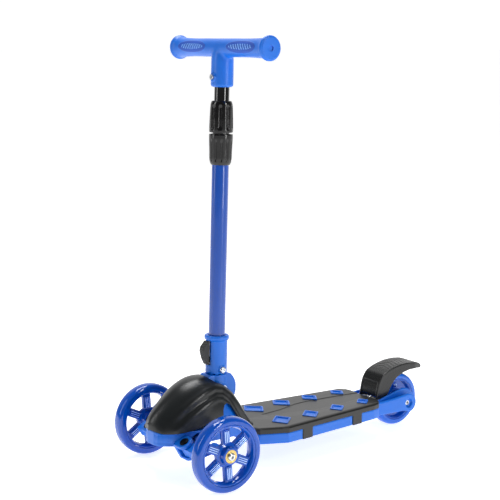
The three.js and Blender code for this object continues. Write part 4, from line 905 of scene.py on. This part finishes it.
class SCOOTER_OT_wheels(bpy.types.Operator):
    """Build the two front wheels and the rear wheel, with tyres, spoked cores, bearings and axle bolts"""

    bl_idname = "scooter.wheels"
    bl_label = "Wheels"

    def execute(self, context):
        front = wheel_meshes(62.5, 11.7, 50.5, 14.0, 6, math.radians(34), 15)
        for sign, side in ((1, "left"), (-1, "right")):
            middle = Matrix.Translation((FRONT_WHEEL_X, 0, FRONT_WHEEL_Z))
            where = mirror(SCOOTER, sign) @ middle @ UPRIGHT
            self.wheel(f"front_{side}", f"front_wheel_{side}", front, where, 14.0)
            head = joined(bolt_head(6.5, 3.1, 2.9), lathe([(0, -58), (4, -58), (4, 0.2), (0, 0.2)], 32))
            bolt_at = where @ Matrix.Translation((0, 0, 14.6))
            bolt = f"front_{side}_axle_bolt"
            place(f"{bolt}_zinc", head, bolt_at, f"steering_{side}", "steel", [bolt])
        rear = wheel_meshes(49.5, 12.5, 38.5, 20.0, 5, math.radians(20), 13, closed=True)
        where = SCOOTER @ Matrix.Translation((0, WHEELBASE, REAR_WHEEL_Z)) @ UPRIGHT
        self.wheel("rear", "rear_wheel", rear, where, 20.0)
        head = joined(bolt_head(6.5, 3.0, 2.9), lathe([(0, -86), (4, -86), (4, 0.2), (0, 0.2)], 32))
        bolt_at = where @ Matrix.Translation((0, 0, 37.0))
        place("rear_axle_bolt_zinc", head, bolt_at, "deck", "steel", ["rear_axle_bolt"])
        return {"FINISHED"}

    @staticmethod
    def wheel(name, body, meshes, where, hub_half):
        tyre, core, glint_ribs = (mesh.copy() for mesh in meshes)
        cast = "rear_tyre" if name == "rear" else None
        place(f"{name}_tyre_blue", tyre, where, body, "wheel_tyre", [f"{name}_tyre"], look=cast)
        # The spoke ribs take the bright metal, which is painted reflection.
        glint_name = f"{name}_spoke_ribs_painted_reflection"
        place(glint_name, glint_ribs, where, body, "wheel_core", [f"{name}_core"], look="spoke_rib_reflection")
        place(f"{name}_core_blue", core, where, body, "wheel_core", [f"{name}_core"])
        outer = where @ Matrix.Translation((0, 0, hub_half + 0.3))
        inner = where @ Matrix.Scale(-1, 4, (0, 0, 1)) @ Matrix.Translation((0, 0, hub_half + 0.3))
        place(f"{name}_bearing_outer_zinc", bearing_mesh(), outer, body, "bearing_steel", [f"{name}_bearing_outer"])
        place(f"{name}_bearing_inner_zinc", bearing_mesh(), inner, body, "bearing_steel", [f"{name}_bearing_inner"])


# ------------------------------------------------------------------ deck, pad and trays
TRAY_X = (40.9, 42.4, 39.8, 36.5)
TRAY_FIRST = 171.0
TRAY_PITCH = (358.0 - TRAY_FIRST) / 3


def tray_outline(index, sign, margin):
    """A tray's leaning four-sided plan with rounded corners, grown by a margin."""
    scale = 1 - 0.13 * index
    long, short = (20.7 * scale, 13 * scale), (19.5 * scale, -21.5 * scale)
    grow = 1 + margin / (13 * scale)
    x, y = TRAY_X[index], TRAY_FIRST + TRAY_PITCH * index
    corners = [
        (sign * (x + grow * (a * long[0] + b * short[0]) / 2), y + grow * (a * long[1] + b * short[1]) / 2)
        for a, b in ((-1, -1), (1, -1), (1, 1), (-1, 1))
    ]
    return eased(corners, 3.2, closed=True, steps=5)


# The line where the pad's middle field steps down, on the left half, as (Y, X). on_line reads it by Y.
PAD_CREASE = [(158, 3), (164, 6.6), (208, 12), (251, 24), (275, 26), (331, 22), (385, 15.5), (392, 15)]


class SCOOTER_OT_deck(bpy.types.Operator):
    """Build the deck with its rear fork, the rubber pad and the eight trays that stand up through it"""

    bl_idname = "scooter.deck"
    bl_label = "Deck"

    def execute(self, context):
        step = context.scene.scooter_sizes.pad_step / MM
        hull = softened("deck_base", 1.1, 5)
        place("deck_base_blue", hull, SCOOTER, "deck", "body_plastic", ["deck_base"])
        pad = softened("deck_pad", 0.9, 5)
        shifted(pad, lambda at, normal: self.pad_form(at, step))
        place("deck_pad_grey", pad, SCOOTER, "deck", "deck_pad_rubber", ["deck_pad"])
        trays = []
        for index in range(4):
            for sign in (1, -1):
                outer = tray_outline(index, sign, 2.3)
                inner = tray_outline(index, sign, -0.2)
                trays.append(plate([outer, inner], 66.0, 70.4, 0.6))
                trays.append(plate([tray_outline(index, sign, 0.2)], 64.0, 68.2, 0.3))
        place("deck_trays_blue", joined(*trays), SCOOTER, "deck", "body_plastic", ["deck_base"])
        return {"FINISHED"}

    @staticmethod
    def pad_form(at, step):
        """Drops the middle field by a step across the crease, and dishes the pad a little towards it."""
        if at.z < 66.5:
            return None
        crease = on_line(PAD_CREASE, at.y)
        inside = smoothstep(crease + 0.9, crease - 0.9, abs(at.x)) * smoothstep(156, 170, at.y)
        outside = smoothstep(crease, crease + 26, abs(at.x))
        side = 80 - 18 * (at.y - 158) / 207 if at.y > 158 else 80
        shoulder = smoothstep(side - 10, side, abs(at.x))
        return Vector((0, 0, -step * inside - 0.5 * (1 - outside) * (1 - inside) - 2.0 * shoulder**2))


# ------------------------------------------------------------------ mudguard
class SCOOTER_OT_mudguard(bpy.types.Operator):
    """Build the mudguard that is also the foot brake"""

    bl_idname = "scooter.mudguard"
    bl_label = "Mudguard"

    def execute(self, context):
        rib = context.scene.scooter_sizes.guard_rib / MM
        w = WHEELBASE
        top = [
            (w - 62, 66), (w - 60, 78), (w - 56, 93), (w - 47, 106), (w - 33, 112.5), (w - 21, 116), (w - 3, 119.5),
            (w + 17, 120), (w + 35, 118), (w + 46, 114.5), (w + 52, 110),
        ]
        under = [
            (w + 51, 104.5), (w + 45, 106), (w + 33, 112), (w + 17, 115), (w - 3, 114.5), (w - 20, 111), (w - 32, 107.5),
            (w - 43, 101.5), (w - 51, 91), (w - 55, 78), (w - 57, 66),
        ]
        skirt_edge = [
            (w + 51, 104), (w + 38, 106), (w + 20, 106), (w + 4, 103), (w - 11, 97), (w - 23, 87), (w - 30, 75),
            (w - 37, 63), (w - 47, 54), (w - 61, 53), (w - 63, 58),
        ]
        parts = [(plate([eased(top + under, 4, closed=True)], -24.5, 24.5, 0.6), UPRIGHT)]
        skirt = eased(top + skirt_edge, 4, closed=True)
        for low, high in ((20.3, 24.3), (-24.3, -20.3)):
            parts.append((plate([skirt], low, high, 0.6), UPRIGHT))
        shoe = [(w - 8, 115), (w - 8, 104), (w + 8, 104.5), (w + 24, 101.5), (w + 24, 115)]
        parts.append((plate([shoe], -9, 9, 0.6), UPRIGHT))
        guard = moulded(parts, 0.8, 8)
        shifted(guard, lambda at, normal: self.guard_form(at, normal, rib))
        place("mudguard_grey", guard, SCOOTER, "brake", "guard_plastic", ["mudguard_brake"])
        return {"FINISHED"}

    @staticmethod
    def guard_form(at, normal, rib):
        """A sunk panel low on the front, tread ribs on top, and a rounded tail."""
        move = Vector((0, 0, 0))
        if normal.y < -0.6 and at.z < 95 and at.y < 412:
            panel = smoothstep(93.5, 91.5, at.z) * smoothstep(20.5, 19, abs(at.x))
            move += Vector((0, 0.9, 0.0)) * panel
        if normal.z > 0.6 and at.z > 104 and at.y > 424:
            field = smoothstep(19, 16.5, abs(at.x)) * smoothstep(432, 440, at.y) * smoothstep(506, 498, at.y)
            wave = math.cos((at.y + 0.35 * abs(at.x)) * 2 * math.pi / 7.5)
            move += normal * rib * field * smoothstep(-0.1, 0.35, wave)
        tail = smoothstep(494, 520, at.y)
        if tail > 0:
            move.x -= at.x * 0.2 * tail
        return move


# ------------------------------------------------------------------ small parts and stage
class SCOOTER_OT_small_parts(bpy.types.Operator):
    """Give the bolts, pins, springs and hidden pieces their finishes"""

    bl_idname = "scooter.small_parts"
    bl_label = "Small parts"

    def execute(self, context):
        slots = {part["node"]: part["material_slot"] for part in frame["record"]["subparts"]}
        for name, part in CAD.items():
            part.data.materials.clear()
            part.data.materials.append(FINISHES[slots[name]])
        return {"FINISHED"}


CAMERA_PLACE = (1.7300, -1.3347, 0.7212)
CAMERA_TARGET = (0.0, -0.0893, 0.3637)
CAMERA_LENS = 91.94  # on a 36 mm sensor
# Soft boxes: name, place, width and height in metres, and watts.
STUDIO_LIGHTS = (
    ("top", (-0.5, 0.1, 2.4), (1.2, 1.2), 42),
    ("left strip", (-0.9, -2.2, 1.3), (0.3, 1.8), 12),
    ("right strip", (2.3, 0.5, 1.2), (0.3, 1.8), 27),
)


class SCOOTER_OT_stage(bpy.types.Operator):
    """Build the pale floor, the soft studio light and the camera"""

    bl_idname = "scooter.stage"
    bl_label = "Studio"

    def execute(self, context):
        scene = context.scene
        made = bmesh.new()
        bmesh.ops.create_grid(made, x_segments=2, y_segments=2, size=60)
        floor_mesh = bpy.data.meshes.new("studio_floor")
        made.to_mesh(floor_mesh)
        made.free()
        floor = bpy.data.objects.new("studio_floor", floor_mesh)
        scene.collection.objects.link(floor)
        # White paper that glows a little, so that the floor runs into the backdrop.
        paper = {"Emission Color": (1, 1, 1, 1), "Emission Strength": 0.72}
        paper = finish("Matt white paper, lit through", (0.9, 0.9, 0.9), 0.95, 0.005, 2.0, 0.01, **paper)
        floor_mesh.materials.append(paper)
        scene.world = self.studio_world()
        for name, spot, size, power in STUDIO_LIGHTS:
            light = bpy.data.lights.new(name, "AREA")
            light.shape = "RECTANGLE"
            light.size, light.size_y = size
            light.energy = power
            lamp = bpy.data.objects.new(name, light)
            lamp.location = spot
            lamp.rotation_euler = (Vector((0, 0, 0.3)) - Vector(spot)).to_track_quat("-Z", "Y").to_euler()
            scene.collection.objects.link(lamp)
        camera = bpy.data.cameras.new("camera")
        camera.lens = CAMERA_LENS
        camera.sensor_width = 36
        eye = bpy.data.objects.new("camera", camera)
        eye.location = CAMERA_PLACE
        eye.rotation_euler = (Vector(CAMERA_TARGET) - Vector(CAMERA_PLACE)).to_track_quat("-Z", "Y").to_euler()
        scene.collection.objects.link(eye)
        scene.camera = eye
        scene.view_settings.view_transform = "Standard"
        return {"FINISHED"}

    @staticmethod
    def studio_world():
        """White walls all round, with the room darker on the side where the camera stands."""
        world = bpy.data.worlds.new("Studio")
        world.use_nodes = True
        tree = world.node_tree
        tree.nodes.clear()
        outward = node(tree, "ShaderNodeTexCoord")
        across = Vector(CAMERA_PLACE) - Vector(CAMERA_TARGET)
        across.z = 0
        across.normalize()
        facing = node(
            tree, "ShaderNodeVectorMath", {1: tuple(across)}, {0: (outward, "Generated")}, operation="DOT_PRODUCT"
        )
        ramp = node(
            tree, "ShaderNodeMapRange", {"From Min": -0.86, "From Max": -0.3, "To Min": 1.05, "To Max": 0.16},
            {"Value": (facing, "Value")}, interpolation_type="SMOOTHSTEP",
        )
        # The backdrop itself is white on every side.
        seen = node(tree, "ShaderNodeLightPath")
        strength = node(
            tree, "ShaderNodeMath", None, {0: (ramp, "Result"), 1: (seen, "Is Camera Ray")}, operation="MAXIMUM"
        )
        background = node(tree, "ShaderNodeBackground", {"Color": (1, 1, 1, 1)}, {"Strength": (strength, "Value")})
        node(tree, "ShaderNodeOutputWorld", None, {"Surface": (background, "Background")})
        return world


OPERATORS = (
    SCOOTER_OT_small_parts,
    SCOOTER_OT_handlebar,
    SCOOTER_OT_tubes,
    SCOOTER_OT_height_lock,
    SCOOTER_OT_fold_joint,
    SCOOTER_OT_cowl,
    SCOOTER_OT_front_base,
    SCOOTER_OT_wheels,
    SCOOTER_OT_deck,
    SCOOTER_OT_mudguard,
    SCOOTER_OT_stage,
)


class SCOOTER_PT_panel(bpy.types.Panel):
    """Lists the scooter's pieces in the sidebar"""

    bl_idname = "SCOOTER_PT_panel"
    bl_label = "Kick scooter"
    bl_space_type = "VIEW_3D"
    bl_region_type = "UI"
    bl_category = "Scooter"

    def draw(self, context):
        layout = self.layout
        for group in (context.scene.scooter_sizes, context.scene.scooter_colours):
            box = layout.box()
            for key in group.__annotations__:
                box.prop(group, key)
        for operator in OPERATORS:
            layout.operator(operator.bl_idname)


CLASSES = (ScooterSizes, ScooterColours, *OPERATORS, SCOOTER_PT_panel)


def register():
    for cls in CLASSES:
        bpy.utils.register_class(cls)
    bpy.types.Scene.scooter_sizes = bpy.props.PointerProperty(type=ScooterSizes)
    bpy.types.Scene.scooter_colours = bpy.props.PointerProperty(type=ScooterColours)


def unregister():
    del bpy.types.Scene.scooter_colours
    del bpy.types.Scene.scooter_sizes
    for cls in reversed(CLASSES):
        bpy.utils.unregister_class(cls)


def main():
    register()
    FINISHES.update(make_finishes(bpy.context.scene.scooter_colours))
    for operator in OPERATORS:
        getattr(bpy.ops.scooter, operator.bl_idname.split(".")[1])()


if __name__ == "__main__":
    main()
